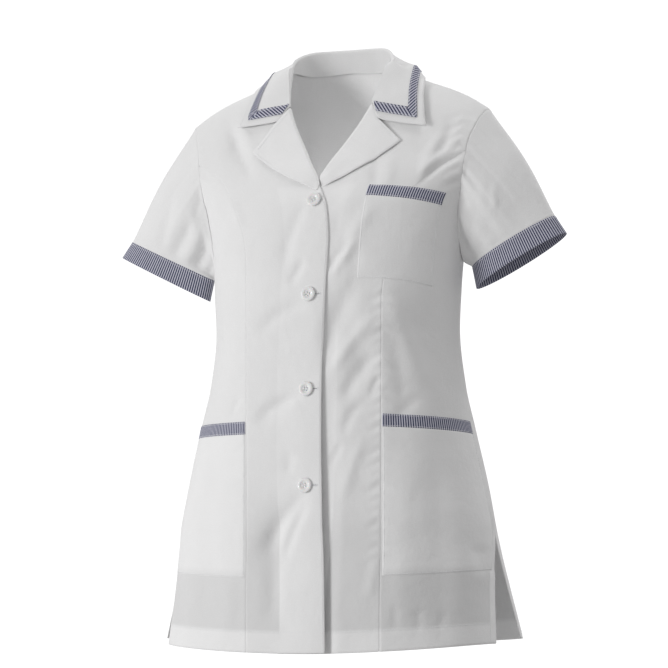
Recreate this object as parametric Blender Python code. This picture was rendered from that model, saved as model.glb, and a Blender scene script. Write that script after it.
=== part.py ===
# Work tunic with short sleeves, notched collar, four buttons and three patch pockets.
# Metres. The wearer faces -Y, the wearer's left is +X, and up is +Z.
# The origin is the middle of the neck, level with the top of the shoulder line.

import bpy
import math
import numpy as np

for old in list(bpy.data.objects):
    bpy.data.objects.remove(old, do_unlink=True)

# Driving sizes
CLOTH = 0.0012
NECK_INSET = 0.0036
COLLAR_CLOTH = 0.0018
CUFF_CLOTH = 0.0018
POCKET_CLOTH = 0.0011
POCKET_TRIM_CLOTH = 0.0013
TRIM_CLOTH = 0.0007
SEAM_GAP = 0.0004
REST_GAP = 0.0006
COLLAR_REST = 0.0021
TAPE_REST = 0.0011
HIP_REST = 0.0009
NECK_POINT = 0.071
SHOULDER_TIP = 0.1965
UNDERARM = -0.235
HEM = -0.714
VENT_TOP = -0.580
SQUARENESS = 0.10
FRONT_DIP = 0.012
BACK_NECK_RISE = 0.030
BACK_NECK_DROP = 0.022
NECK_RISE_WIDTH = 0.060
BACK_HEM_LIFT = 0.0065
FACING_TURN = 0.0034
GORGE = (0.0543, -0.0450)

WHITE = (0.86, 0.87, 0.88)
STRIPE = (0.42, 0.44, 0.60)
PEARL = (0.88, 0.88, 0.87)

# One row per section of the body, from the hem up to the shoulder seam
SECTION_COLUMNS = ("height", "tilt", "half_front", "half_back", "depth_front", "depth_back",
                   "middle_front", "middle_back")
SECTIONS = np.array([
    (-0.7140, 0.0000, 0.2110, 0.2325, 0.1080, 0.1040, -0.0240, 0.0080),
    (-0.6500, 0.0000, 0.2060, 0.2175, 0.1160, 0.1090, -0.0120, 0.0040),
    (-0.5800, 0.0000, 0.2030, 0.2030, 0.1190, 0.1110, -0.0010, -0.0010),
    (-0.5250, 0.0000, 0.1930, 0.1930, 0.1150, 0.1080, -0.0015, -0.0015),
    (-0.4500, 0.0000, 0.1760, 0.1760, 0.1130, 0.0980, -0.0020, -0.0020),
    (-0.4000, 0.0000, 0.1650, 0.1650, 0.1100, 0.0920, -0.0030, -0.0030),
    (-0.3300, 0.0000, 0.1575, 0.1575, 0.1060, 0.0900, -0.0030, -0.0030),
    (-0.2800, 0.0000, 0.1590, 0.1590, 0.1050, 0.0920, -0.0010, -0.0010),
    (-0.2350, 0.0000, 0.1620, 0.1620, 0.1020, 0.0920, 0.0020, 0.0020),
    (-0.1800, 0.0010, 0.1730, 0.1730, 0.0960, 0.0880, 0.0060, 0.0060),
    (-0.1450, 0.0050, 0.1900, 0.1900, 0.0820, 0.0820, 0.0080, 0.0080),
    (-0.1050, 0.0140, 0.2200, 0.2200, 0.0600, 0.0740, 0.0090, 0.0090),
    (-0.0700, 0.0260, 0.2400, 0.2400, 0.0440, 0.0650, 0.0090, 0.0090),
    (-0.0400, 0.0390, 0.2500, 0.2500, 0.0310, 0.0530, 0.0090, 0.0090),
    (-0.0180, 0.0500, 0.2550, 0.2550, 0.0195, 0.0400, 0.0090, 0.0090),
    (-0.0050, 0.0548, 0.2580, 0.2580, 0.0090, 0.0230, 0.0090, 0.0090),
    (0.0000, 0.0570, 0.2600, 0.2600, 0.0000, 0.0000, 0.0090, 0.0090),
])

# Armhole, from the underarm up to the shoulder; the angle is round the body, in degrees
ARMHOLE_COLUMNS = ("height", "angle")
ARMHOLE = np.array([
    (-0.2350, 90.0), (-0.2280, 84.5), (-0.2150, 79.5), (-0.1900, 74.7), (-0.1628, 69.4),
    (-0.1425, 63.6), (-0.1100, 54.2), (-0.0700, 49.0), (-0.0300, 48.4), (0.0000, 49.1),
])

# Princess seam: distance from the middle on the wearer's right and left
PRINCESS_COLUMNS = ("height", "right", "left")
PRINCESS = np.array([
    (-0.7140, 0.0700, 0.0965), (-0.5700, 0.0756, 0.0935), (-0.4400, 0.0795, 0.0912),
    (-0.3000, 0.0850, 0.0890), (-0.2500, 0.0885, 0.0940), (-0.2120, 0.0955, 0.0980),
    (-0.1800, 0.1080, 0.1070), (-0.1500, 0.1265, 0.1290), (-0.1250, 0.1470, 0.1520),
    (-0.1000, 0.1785, 0.1785),
])

# Front edge and roll line: how far past the middle they reach
FRONT_EDGE_COLUMNS = ("height", "reach")
FRONT_EDGE = np.array([
    (-0.7140, 0.0315), (-0.6500, 0.0290), (-0.5800, 0.0240), (-0.4900, 0.0205),
    (-0.3800, 0.0195), (-0.3000, 0.0215), (-0.2300, 0.0225), (-0.2086, 0.0210),
    (-0.1793, 0.0160), (-0.1604, 0.0072), (-0.1425, 0.0000), (-0.1284, -0.0095),
    (-0.1050, -0.0235), (-0.0750, -0.0408), (-0.0450, -0.0543), (-0.0200, -0.0620),
    (0.0000, -0.0690),
])

# Largest folds of the body, ridges positive and troughs negative
FOLD_COLUMNS = ("side", "x_from", "z_from", "x_to", "z_to", "width", "height")
FOLDS = (
    (-1, -0.132, -0.075, -0.104, -0.150, 0.014, -0.0022),
    (-1, 0.034, -0.205, 0.062, -0.262, 0.013, -0.0020),
    (-1, 0.036, -0.300, 0.078, -0.392, 0.016, -0.0026),
    (-1, 0.042, -0.405, 0.084, -0.432, 0.013, -0.0020),
    (-1, -0.024, -0.425, -0.062, -0.446, 0.013, -0.0020),
    (-1, -0.030, -0.545, -0.052, -0.610, 0.015, -0.0022),
    (-1, -0.140, -0.300, -0.150, -0.420, 0.020, -0.0024),
    (-1, 0.128, -0.310, 0.134, -0.415, 0.018, -0.0022),
    (1, -0.060, -0.330, -0.105, -0.430, 0.022, -0.0035),
    (1, 0.050, -0.300, 0.098, -0.400, 0.020, -0.0030),
    (1, -0.070, -0.520, -0.080, -0.700, 0.030, 0.0045),
    (1, 0.085, -0.540, 0.098, -0.700, 0.028, 0.0040),
    (1, 0.120, -0.120, 0.090, -0.210, 0.018, -0.0025),
    (1, -0.125, -0.115, -0.098, -0.200, 0.018, -0.0025),
)

# Collar, from the back to the front: place on the neck seam, top of the fold, outer edge.
# neck_side is 1 on the back, where place is a share of the half neck, and -1 on the front,
# where place is a height. The last columns raise the fold and draw in the edge on each hand.
COLLAR_COLUMNS = ("neck_side", "place", "fold_x", "fold_y", "fold_z", "edge_x", "edge_y", "edge_z",
                  "rise_right", "rise_left", "draw_right", "draw_left")
COLLAR = np.array([
    (1, 0.000, 0.0000, 0.0560, 0.0375, 0.0000, 0.0730, -0.0180, 0.000, 0.0000, 0.000, 0.000),
    (1, 0.420, 0.0225, 0.0540, 0.0370, 0.0330, 0.0710, -0.0180, 0.000, 0.0000, 0.000, 0.000),
    (1, 0.720, 0.0420, 0.0465, 0.0345, 0.0650, 0.0660, -0.0180, 0.001, 0.0000, 0.000, 0.000),
    (1, 0.930, 0.0560, 0.0340, 0.0260, 0.0930, 0.0500, -0.0150, 0.004, 0.0000, 0.003, 0.000),
    (-1, -0.002, 0.0635, 0.0180, 0.0110, 0.1100, 0.0180, -0.0100, 0.007, 0.0000, 0.007, 0.000),
    (-1, -0.012, 0.0615, 0.0010, -0.0080, 0.1150, -0.0060, -0.0280, 0.006, -0.0045, 0.006, 0.000),
    (-1, -0.029, 0.0580, -0.0130, -0.0270, 0.1190, -0.0160, -0.0520, 0.003, -0.0030, 0.002, 0.000),
    (-1, -0.043, 0.0543, -0.0250, -0.0445, 0.1240, -0.0240, -0.0760, 0.000, 0.0000, 0.000, 0.000),
])
FRONT_STATION = 5
COLLAR_TIP = {-1: (0.1215, -0.0700), 1: (0.1265, -0.0825)}
NOTCH = {-1: (0.0705, -0.0652), 1: (0.0678, -0.0695)}
LAPEL_TIP = {-1: (0.0955, -0.1056), 1: (0.0972, -0.1000)}
LAPEL_FOOT = {-1: (-0.0030, -0.1610), 1: (0.0145, -0.1540)}

# Tape on the collar: how far its two borders are from the collar's edge
TAPE_NEAR = 0.0095
TAPE_FAR = 0.0215
TAPE_CORNER = 1.45
TAPE_NEAR_START = 0.0012
TAPE_FAR_START = 0.0040
TAPE_LEG = 6

# Pockets
CHEST_COLUMNS = ("across", "trim_top", "trim_bottom", "bag_bottom", "angle_top", "angle_bottom")
CHEST_POCKET = np.array([
    (0.00, -0.1572, -0.1702, -0.2742, 21.8, 22.3),
    (0.50, -0.1600, -0.1745, -0.2765, 40.0, 41.0),
    (1.00, -0.1661, -0.1815, -0.2836, 60.2, 62.8),
])
HIP_TRIM_TOP = {-1: (-0.4462, -0.4450), 1: (-0.4404, -0.4455)}
HIP_TRIM_DEPTH = 0.0150
HIP_BAG_BOTTOM = -0.6320
HIP_OUTER_ANGLE = 86.0
HIP_INNER_ANGLE = 0.012
HIP_BAG_SLOPE = 0.006

# Sleeves: middle, half width and half depth at the cuff seam and at the cuff's lower edge
CUFF_COLUMNS = ("x", "y", "z", "half_width", "half_depth", "slope", "yaw")
CUFF_SEAM = {-1: (0.2268, 0.0080, -0.2286, 0.0612, 0.0215, 25.8, -4.0),
             1: (0.2263, 0.0080, -0.2245, 0.0612, 0.0215, 28.0, -4.0)}
CUFF_EDGE = {-1: (0.2366, 0.0080, -0.2515, 0.0665, 0.0225, 27.0, -4.0),
             1: (0.2360, 0.0080, -0.2485, 0.0665, 0.0225, 28.2, -4.0)}
SLEEVE_BULGE = 0.005
SLEEVE_LEVELS = (0.0, 0.12, 0.30, 0.52, 0.76, 1.0)
SHOULDER_BOW = 0.0060

BUTTON_HEIGHTS = (-0.1745, -0.2925, -0.4086, -0.5253)
BUTTON_X = 0.0008


def smooth(start, end, value):
    share = np.clip((value - start) / (end - start), 0.0, 1.0)
    return share * share * (3.0 - 2.0 * share)


def curve(xs, ys, value):
    """Smooth curve through a table that never overshoots its rows."""
    xs = np.asarray(xs, float)
    ys = np.asarray(ys, float)
    step = np.diff(xs)
    rise = np.diff(ys) / step
    slope = np.zeros_like(xs)
    slope[0] = rise[0]
    slope[-1] = rise[-1]
    for i in range(1, len(xs) - 1):
        if rise[i - 1] * rise[i] > 0:
            first = 2 * step[i] + step[i - 1]
            second = step[i] + 2 * step[i - 1]
            slope[i] = (first + second) / (first / rise[i - 1] + second / rise[i])
    value = np.clip(value, xs[0], xs[-1])
    i = np.clip(np.searchsorted(xs, value) - 1, 0, len(xs) - 2)
    t = (value - xs[i]) / step[i]
    return ((2 * t**3 - 3 * t**2 + 1) * ys[i] + (t**3 - 2 * t**2 + t) * step[i] * slope[i]
            + (3 * t**2 - 2 * t**3) * ys[i + 1] + (t**3 - t**2) * step[i] * slope[i + 1])


def read(table, columns, name, value):
    """Value of a named column of a table at a value of its first column."""
    return curve(table[:, 0], table[:, columns.index(name)], value)


def section(name, height):
    return read(SECTIONS, SECTION_COLUMNS, name, height)


def unit(vectors):
    return vectors / np.maximum(np.linalg.norm(vectors, axis=-1, keepdims=True), 1e-12)


def neck_rise(x):
    """The cloth climbs toward the neck."""
    return BACK_NECK_RISE * np.exp(-(x / NECK_RISE_WIDTH) ** 2)


def shoulder_ramp(x):
    """0 at the neck point and 1 at the shoulder tip."""
    return np.clip((np.abs(x) - NECK_POINT) / (SHOULDER_TIP - NECK_POINT), 0.0, 1.4)


def shoulder_bow(ramp, height):
    arch = np.sin(math.pi * np.clip(ramp, 0.0, 1.0) ** 1.8)
    return SHOULDER_BOW * arch * smooth(-0.12, -0.01, height)


def body(side, angle, height):
    """Point of the bare form: side -1 is the front, +1 the back, angle is from the middle."""
    word = "front" if side < 0 else "back"
    angle = np.asarray(angle, float)
    height = np.asarray(height, float)
    x = section("half_" + word, height) * np.sin(angle)
    fullness = np.cos(angle) * (1 + SQUARENESS * np.sin(angle) ** 2)
    y = section("middle_" + word, height) + side * section("depth_" + word, height) * fullness
    ramp = shoulder_ramp(x)
    z = height - section("tilt", height) * ramp + shoulder_bow(ramp, height)
    if side < 0:
        z = z - FRONT_DIP * np.cos(angle) ** 2 * smooth(VENT_TOP, HEM, height)
        z = z + neck_rise(x) * smooth(-0.035, -0.004, height)
    else:
        z = z + BACK_HEM_LIFT * np.sin(angle) ** 2 * smooth(VENT_TOP, HEM, height)
        z = z + neck_rise(x) * smooth(-0.13, -0.02, height)
    return np.stack(np.broadcast_arrays(x, y, z), -1)


def outward(side, angle, height):
    """Direction straight out of the cloth; both sides share it along the shoulder seam."""
    small = 1e-4
    low = np.clip(height - small, HEM, 0.0)
    high = np.clip(height + small, HEM, 0.0)
    across = body(side, angle + small, height) - body(side, angle - small, height)
    up = body(side, angle, high) - body(side, angle, low)
    way = unit(np.cross(across, up)) * (-side)
    lean = math.atan2(section("tilt", 0.0), SHOULDER_TIP - NECK_POINT)
    seam = np.stack(np.broadcast_arrays(np.sign(angle) * math.sin(lean), 0.0, math.cos(lean)), -1)
    near = smooth(-0.006, 0.0, np.asarray(height, float))[..., None]
    return unit(way * (1 - near) + seam * near)


def fold_height(side, x, z):
    total = np.zeros(np.broadcast(x, z).shape)
    for row in FOLDS:
        fold = dict(zip(FOLD_COLUMNS, row))
        if fold["side"] != side:
            continue
        run_x = fold["x_to"] - fold["x_from"]
        run_z = fold["z_to"] - fold["z_from"]
        length = math.hypot(run_x, run_z)
        from_x = x - fold["x_from"]
        from_z = z - fold["z_from"]
        along = (from_x * run_x + from_z * run_z) / length**2
        across = (from_x * run_z - from_z * run_x) / length
        fade = smooth(-0.25, 0.25, along) * smooth(1.25, 0.75, along)
        total = total + fold["height"] * fade * np.exp(-(across / fold["width"]) ** 2)
    return total


def lap_shift(owner, x, height):
    """The right front stands off over the left front, which sinks back under it."""
    down = smooth(-0.22, -0.68, height)
    if owner == "right":
        return (0.0002 + 0.0035 * down) * smooth(-0.035, 0.020, x) * smooth(-0.14, -0.19, height)
    if owner == "left":
        return -(0.0019 + 0.0028 * down) * smooth(0.050, 0.027, x) * smooth(-0.118, -0.140, height)
    return 0.0


def cloth_point(side, angle, height, out=0.0, owner=""):
    base = body(side, angle, height)
    way = outward(side, angle, height)
    lift = fold_height(side, base[..., 0], base[..., 2]) + lap_shift(owner, base[..., 0], height) + out
    return base + way * np.asarray(lift)[..., None], way


def front_at(x, z):
    """Angle and section height of the front at a distance from the middle and a height."""
    x = np.asarray(x, float)
    z = np.asarray(z, float)
    ramp = shoulder_ramp(x)
    height = z.copy()
    for _ in range(40):
        climb = shoulder_bow(ramp, height) + neck_rise(x) * smooth(-0.035, -0.004, height)
        better = z + section("tilt", height) * ramp - climb
        height = np.clip(0.5 * height + 0.5 * better, HEM, 0.0)
    return np.arcsin(np.clip(x / section("half_front", height), -0.999, 0.999)), height


def on_front(x, z, out, owner=""):
    angle, height = front_at(x, z)
    return cloth_point(-1, angle, height, out, owner)[0]


# Meshes
def add_mesh(name, points, faces, colour, roughness, round_shade=True):
    mesh = bpy.data.meshes.new(name)
    mesh.from_pydata([tuple(p) for p in points], [], faces)
    total = 0.0
    for polygon in mesh.polygons:
        corners = [mesh.vertices[i].co for i in polygon.vertices]
        for k in range(1, len(corners) - 1):
            total += corners[0].dot(corners[k].cross(corners[k + 1]))
    if total < 0:
        mesh.flip_normals()
    mesh.update()
    if round_shade:
        mesh.polygons.foreach_set("use_smooth", [True] * len(mesh.polygons))
    part = bpy.data.objects.new(name, mesh)
    bpy.context.scene.collection.objects.link(part)
    material = bpy.data.materials.new(name + "_cloth")
    material.use_nodes = True
    shader = material.node_tree.nodes["Principled BSDF"]
    shader.inputs["Base Color"].default_value = colour + (1.0,)
    shader.inputs["Roughness"].default_value = roughness
    shader.inputs["Metallic"].default_value = 0.0
    material.diffuse_color = colour + (1.0,)
    mesh.materials.append(material)
    return part


def wall(name, sheet, ways, thick, colour, roughness=0.8, ring=False):
    """Cloth of even thickness from a grid of outer points; ring closes it all round."""
    rows, columns = sheet.shape[:2]
    inner = sheet - ways * thick
    points = np.concatenate([sheet.reshape(-1, 3), inner.reshape(-1, 3)])
    base = rows * columns
    faces = []
    last = columns if ring else columns - 1

    def spot(layer, i, j):
        return layer * base + i * columns + (j % columns)

    for i in range(rows - 1):
        for j in range(last):
            faces.append((spot(0, i, j), spot(0, i, j + 1), spot(0, i + 1, j + 1), spot(0, i + 1, j)))
            faces.append((spot(1, i, j), spot(1, i + 1, j), spot(1, i + 1, j + 1), spot(1, i, j + 1)))
    for j in range(last):
        faces.append((spot(0, 0, j + 1), spot(0, 0, j), spot(1, 0, j), spot(1, 0, j + 1)))
        end = rows - 1
        faces.append((spot(0, end, j), spot(0, end, j + 1), spot(1, end, j + 1), spot(1, end, j)))
    if not ring:
        for i in range(rows - 1):
            faces.append((spot(0, i, 0), spot(0, i + 1, 0), spot(1, i + 1, 0), spot(1, i, 0)))
            end = columns - 1
            faces.append((spot(0, i + 1, end), spot(0, i, end), spot(1, i, end), spot(1, i + 1, end)))
    return add_mesh(name, points, faces, colour, roughness)


def sheet_ways(sheet, ring=False):
    if ring:
        along = np.roll(sheet, -1, axis=1) - np.roll(sheet, 1, axis=1)
    else:
        along = np.gradient(sheet, axis=1)
    return unit(np.cross(along, np.gradient(sheet, axis=0)))


# Rows that every body panel shares, closer together near the shoulder
LOWER_ROWS = np.linspace(HEM, -0.2600, 19)
ARM_ROWS = np.concatenate([[UNDERARM, -0.2280, -0.2150], np.linspace(-0.2000, -0.1250, 6)])
TOP_ROWS = np.array([-0.1100, -0.0950, -0.0800, -0.0640, -0.0480, -0.0330, -0.0200, -0.0100, -0.0035, 0.0])
ROWS = np.concatenate([LOWER_ROWS, ARM_ROWS, TOP_ROWS])


def armhole_angle(height):
    return np.radians(read(ARMHOLE, ARMHOLE_COLUMNS, "angle", height))


def edge_reach(height):
    return read(FRONT_EDGE, FRONT_EDGE_COLUMNS, "reach", height)


def princess_angle(hand, height):
    reach = read(PRINCESS, PRINCESS_COLUMNS, "left" if hand > 0 else "right", height)
    return np.arcsin(np.clip(reach / section("half_front", height), 0.0, 1.0))


def gap_angle(height):
    return 0.5 * SEAM_GAP / section("half_front", height)


def front_inner(height):
    reach = FACING_TURN * smooth(-0.162, -0.146, height) - edge_reach(height)
    return np.arcsin(np.clip(reach / section("half_front", height), -0.9, 0.9))


def front_limits(hand, height):
    above_seam = height > PRINCESS[-1, 0] - 0.0005
    seam = np.where(above_seam, math.pi, princess_angle(hand, height))
    outer = np.minimum(seam, armhole_angle(height)) - gap_angle(height)
    return front_inner(height), outer


def panel(name, hand, rows, start, end, columns, owner):
    share = np.linspace(0.0, 1.0, columns + 1)[None, :]
    angle = hand * (start[:, None] * (1 - share) + end[:, None] * share)
    height = np.broadcast_to(rows[:, None], angle.shape)
    sheet, ways = cloth_point(-1, angle, height, 0.0, owner)
    wall(name, sheet, ways, CLOTH, WHITE)


def side_limits(hand, rows):
    start = princess_angle(hand, rows) + gap_angle(rows)
    end = np.minimum(armhole_angle(np.maximum(rows, UNDERARM)), math.pi / 2) - gap_angle(rows)
    return start, end


SIDE_ROWS = ROWS[ROWS < PRINCESS[-1, 0] - 0.008]
FRONT_COLUMNS = 9
SIDE_COLUMNS = 7
for word, hand in (("right", -1), ("left", 1)):
    start, end = front_limits(hand, ROWS)
    panel("front_" + word, hand, ROWS, start, end, FRONT_COLUMNS, word)
    start, end = side_limits(hand, SIDE_ROWS)
    panel("side_front_" + word, hand, SIDE_ROWS, start, end, SIDE_COLUMNS, "")

# Back: one piece, its middle columns stop at the neck seam
neck_share = math.asin(NECK_POINT / section("half_back", 0.0)) / armhole_angle(0.0)
back_share = np.concatenate([np.linspace(-1, -neck_share, 8)[:-1],
                             neck_share * np.sin(np.linspace(-math.pi / 2, math.pi / 2, 9)),
                             np.linspace(neck_share, 1, 8)[1:]])[None, :]
dip = BACK_NECK_DROP * np.clip(1 - (back_share / neck_share) ** 2, 0, 1)
back_height = ROWS[:, None] - dip * np.clip((ROWS[:, None] + 0.125) / 0.125, 0, 1)
back_reach = armhole_angle(np.maximum(back_height, UNDERARM)) - gap_angle(back_height)
sheet, ways = cloth_point(1, back_share * back_reach, back_height)
sheet[-1, :, 1] += SEAM_GAP
wall("back", sheet, ways, CLOTH, WHITE)


# Sleeves and cuffs
def cuff_ring(row, turn, hand):
    cuff = dict(zip(CUFF_COLUMNS, row))
    slope = math.radians(cuff["slope"])
    yaw = math.radians(cuff["yaw"])
    wide = cuff["half_width"] * np.cos(turn)
    deep = -cuff["half_depth"] * np.sin(turn)
    flat = wide * math.cos(slope)
    over = flat * math.cos(yaw) - deep * math.sin(yaw)
    back = flat * math.sin(yaw) + deep * math.cos(yaw)
    return np.stack([hand * (cuff["x"] + over), cuff["y"] + back, cuff["z"] + wide * math.sin(slope)], -1)


def armhole_ring(hand):
    heights = ROWS[ROWS >= UNDERARM][::-1]
    front = [(-1, h) for h in heights]
    back = [(1, h) for h in heights[::-1]][1:-1]
    points = []
    ways = []
    for side, h in front + back:
        point, way = cloth_point(side, np.array(hand * armhole_angle(h)), np.array(h))
        points.append(point)
        ways.append(way)
    return np.array(points), np.array(ways), np.array([h for _, h in front + back])


def sleeve(word, hand):
    ring, ways, heights = armhole_ring(hand)
    tangent = unit(np.roll(ring, -1, axis=0) - np.roll(ring, 1, axis=0))
    inward = unit(np.cross(ways, tangent))
    centre = ring.mean(axis=0)
    inward = inward * np.sign(np.sum(inward * (centre - ring), axis=1))[:, None]
    low = smooth(-0.10, -0.19, heights)[:, None]
    first = ring + inward * SEAM_GAP + ways * (0.0007 * low)
    lengths = np.linalg.norm(np.roll(first, -1, axis=0) - first, axis=1)
    turn = 2 * math.pi * np.concatenate([[0], np.cumsum(lengths)[:-1]]) / lengths.sum()
    seam = cuff_ring(CUFF_SEAM[hand], turn, hand)
    levels = np.array(SLEEVE_LEVELS)
    axis_way = unit(seam - seam.mean(axis=0))
    rows = []
    for level in levels:
        flat = first * (1 - level) + seam * level
        rows.append(flat + axis_way * SLEEVE_BULGE * math.sin(math.pi * level))
    sheet = np.array(rows)
    own = sheet_ways(sheet, ring=True)
    out = np.sum(own * (sheet - sheet.mean(axis=1, keepdims=True)), axis=-1).mean()
    if out < 0:
        own = -own
    own[0] = unit(ways * (1 - low) + own[0] * low)
    wall("sleeve_" + word, sheet, own, CLOTH, WHITE, ring=True)
    end = own[-1]
    top = seam + unit(seam - sheet[-2]) * SEAM_GAP + end * 0.0003
    edge = cuff_ring(CUFF_EDGE[hand], turn, hand)
    cuff = np.array([top, edge])
    cuff_ways = np.stack([end, end])
    wall("cuff_" + word, cuff, cuff_ways, CUFF_CLOTH, STRIPE, ring=True)


sleeve("right", -1)
sleeve("left", 1)


# Collar
def neck_point(hand, neck_side, place):
    """Point just inside the neck edge of the back or of a front."""
    if neck_side > 0:
        height = -BACK_NECK_DROP * (1 - place**2)
        angle = place * neck_share * armhole_angle(0.0)
        point = cloth_point(1, np.array(angle), np.array(height))[0]
    else:
        inner = front_limits(1, np.array([place]))[0]
        point = cloth_point(-1, inner[0], np.array(place))[0]
    toward = unit(np.array((-point[0], 0.010 - point[1], 0.0)))
    return point + toward * NECK_INSET


def collar_controls(hand):
    """Points across the collar at each station, from the neck seam over the fold to the edge."""
    stations = []
    side_word = "right" if hand < 0 else "left"
    for index, row in enumerate(COLLAR):
        line = dict(zip(COLLAR_COLUMNS, row))
        seam = neck_point(hand, line["neck_side"], line["place"])
        fold = np.array((line["fold_x"], line["fold_y"], line["fold_z"] + line["rise_" + side_word]))
        edge = np.array((line["edge_x"] - line["draw_" + side_word], line["edge_y"], line["edge_z"]))
        front = index >= FRONT_STATION
        away = edge - fold
        away[2] = 0.0
        away = unit(away)
        if front:
            share = (index - FRONT_STATION + 1) / (len(COLLAR) - FRONT_STATION)
            tip = np.array(COLLAR_TIP[hand])
            place = np.array((edge[0], edge[2])) * (1 - share) + tip * share
            edge = on_front(place[0], place[1], 0.0034)
            notch = np.array(NOTCH[hand])
            fold_xz = np.array((fold[0], fold[2]))
            straight = (fold_xz + place) / 2
            bent = straight * (1 - share**3) + notch * share**3
            middle = on_front(bent[0], bent[1], 0.0056 - 0.0018 * share)
            toward = unit(middle - fold)
            shoulder = fold + toward * 0.0055
            shoulder = shoulder + np.array((0.0, -1.0, 0.3)) * 0.0016
            crown = fold + toward * 0.0016 + np.array((0.0, -1.0, 0.4)) * 0.0020
        else:
            middle = (fold + away * 0.0068 + edge) / 2 + np.array((0, 0, 0.006)) + away * 0.004
            shoulder = fold + away * 0.0068 + np.array((0, 0, -0.0012))
            crown = fold + away * 0.0034 + np.array((0, 0, 0.0030))
        foot = (seam + fold) / 2
        points = np.array([seam, foot, fold, crown, shoulder, middle, edge])
        points[:, 0] *= hand
        stations.append(points)
    return np.array(stations)


right_half = collar_controls(-1)
left_half = collar_controls(1)
collar_points = np.concatenate([right_half[::-1], left_half[1:]])
STATIONS = np.linspace(-1.0, 1.0, len(collar_points))


def collar_grid(stations, across):
    """Smooth surface through the control points: stations along, 0 to 6 across."""
    along = np.empty((len(stations), 7, 3))
    for k in range(7):
        for axis in range(3):
            along[:, k, axis] = curve(STATIONS, collar_points[:, k, axis], stations)
    sheet = np.empty((len(stations), len(across), 3))
    for i in range(len(stations)):
        for axis in range(3):
            sheet[i, :, axis] = curve(np.arange(7), along[i, :, axis], across)
    return sheet


# Points of the body under the collar, to keep the collar just clear of the shoulders
under_height = -0.13 * np.linspace(1.0, 0.0, 60)[:, None] ** 2
under_angle = np.radians(np.linspace(-60.0, 60.0, 121))[None, :]
under_height, under_angle = np.broadcast_arrays(under_height, under_angle)
under_points = []
under_ways = []
for side in (-1, 1):
    under_points.append(body(side, under_angle, under_height).reshape(-1, 3))
    under_ways.append(outward(side, under_angle, under_height).reshape(-1, 3))
under_points = np.concatenate(under_points)
under_ways = np.concatenate(under_ways)


def lift_clear(sheet, clear):
    """Move points of a sheet out until they clear the body by a distance."""
    flat = sheet.reshape(-1, 3).copy()
    for _ in range(3):
        for i, point in enumerate(flat):
            nearest = np.argmin(np.sum((under_points - point) ** 2, axis=1))
            height = np.dot(point - under_points[nearest], under_ways[nearest])
            if height < clear:
                flat[i] = point + under_ways[nearest] * (clear - height)
    return flat.reshape(sheet.shape)


BACK_STATIONS = np.linspace(0.0, 0.5, 7)
SHOULDER_STATIONS = np.linspace(0.5, 0.85, 9)
FRONT_STATIONS = np.linspace(0.85, 1.0, 4)
half_along = np.concatenate([BACK_STATIONS[:-1], SHOULDER_STATIONS, FRONT_STATIONS[1:]])
collar_along = np.concatenate([-half_along[:0:-1], half_along])
collar_across = np.array([0.0, 0.5, 1.0, 1.6, 2.0, 2.5, 3.0, 3.5, 4.0, 4.5, 5.0, 5.5, 6.0])
FALL_START = 5
collar_sheet = collar_grid(collar_along, collar_across)
collar_sheet[:, FALL_START:] = lift_clear(collar_sheet[:, FALL_START:], COLLAR_CLOTH + COLLAR_REST)
collar_ways = sheet_ways(collar_sheet)
middle_row = len(collar_along) // 2
if collar_ways[middle_row, -1, 1] < 0:
    collar_ways = -collar_ways
wall("collar", collar_sheet, collar_ways, COLLAR_CLOTH, WHITE)


def collar_at(station, across):
    """Points and outward directions on the flat faces of the collar."""
    station, across = np.broadcast_arrays(np.asarray(station, float), np.asarray(across, float))
    i = np.clip(np.searchsorted(collar_along, station) - 1, 0, len(collar_along) - 2)
    j = np.clip(np.searchsorted(collar_across, across) - 1, 0, len(collar_across) - 2)
    s = (station - collar_along[i]) / (collar_along[i + 1] - collar_along[i])
    t = (across - collar_across[j]) / (collar_across[j + 1] - collar_across[j])
    point = 0.0
    way = 0.0
    for di, ws in ((0, 1 - s), (1, s)):
        for dj, wt in ((0, 1 - t), (1, t)):
            weight = (ws * wt)[..., None]
            point = point + collar_sheet[i + di, j + dj] * weight
            way = way + collar_ways[i + di, j + dj] * weight
    return point, unit(way)


def collar_place(hand, x, z):
    """Station and across value of the collar's fall at a distance from the middle and a height."""
    stations = np.linspace(0.55, 1.0, 136)[:, None] * hand
    acrosses = np.linspace(2.4, 6.0, 145)[None, :]
    points = collar_at(stations, acrosses)[0]
    miss = (points[..., 0] - x * hand) ** 2 + (points[..., 2] - z) ** 2
    i, j = np.unravel_index(np.argmin(miss), miss.shape)
    return stations[i, 0], acrosses[0, j]


def fall_share(station, distance):
    """Across value at a distance from the outer edge."""
    size = np.linalg.norm(collar_at(station, 6.0)[0] - collar_at(station, 4.5)[0]) / 1.5
    return 6.0 - distance / size


def tape_end(hand, distance):
    """Border of the tape beside the front edge of the collar, from the lapel to the corner."""
    notch = np.array(NOTCH[hand])
    tip = np.array(COLLAR_TIP[hand])
    run = unit(tip - notch)
    aside = np.array((-run[1], run[0]))
    aside = aside * np.sign(aside[1])
    gorge = np.array(GORGE)
    seam = notch - gorge
    origin = notch + aside * distance
    reach = np.linalg.solve(np.stack([run, -seam], 1), gorge - origin)
    first = origin + run * (reach[0] + (TAPE_NEAR_START if distance < TAPE_FAR else TAPE_FAR_START))
    last = tip + aside * distance - run * distance * TAPE_CORNER
    places = []
    for share in np.linspace(0.0, 1.0, TAPE_LEG + 1):
        spot = first * (1 - share) + last * share
        places.append(collar_place(hand, spot[0], spot[1]))
    return places


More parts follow.
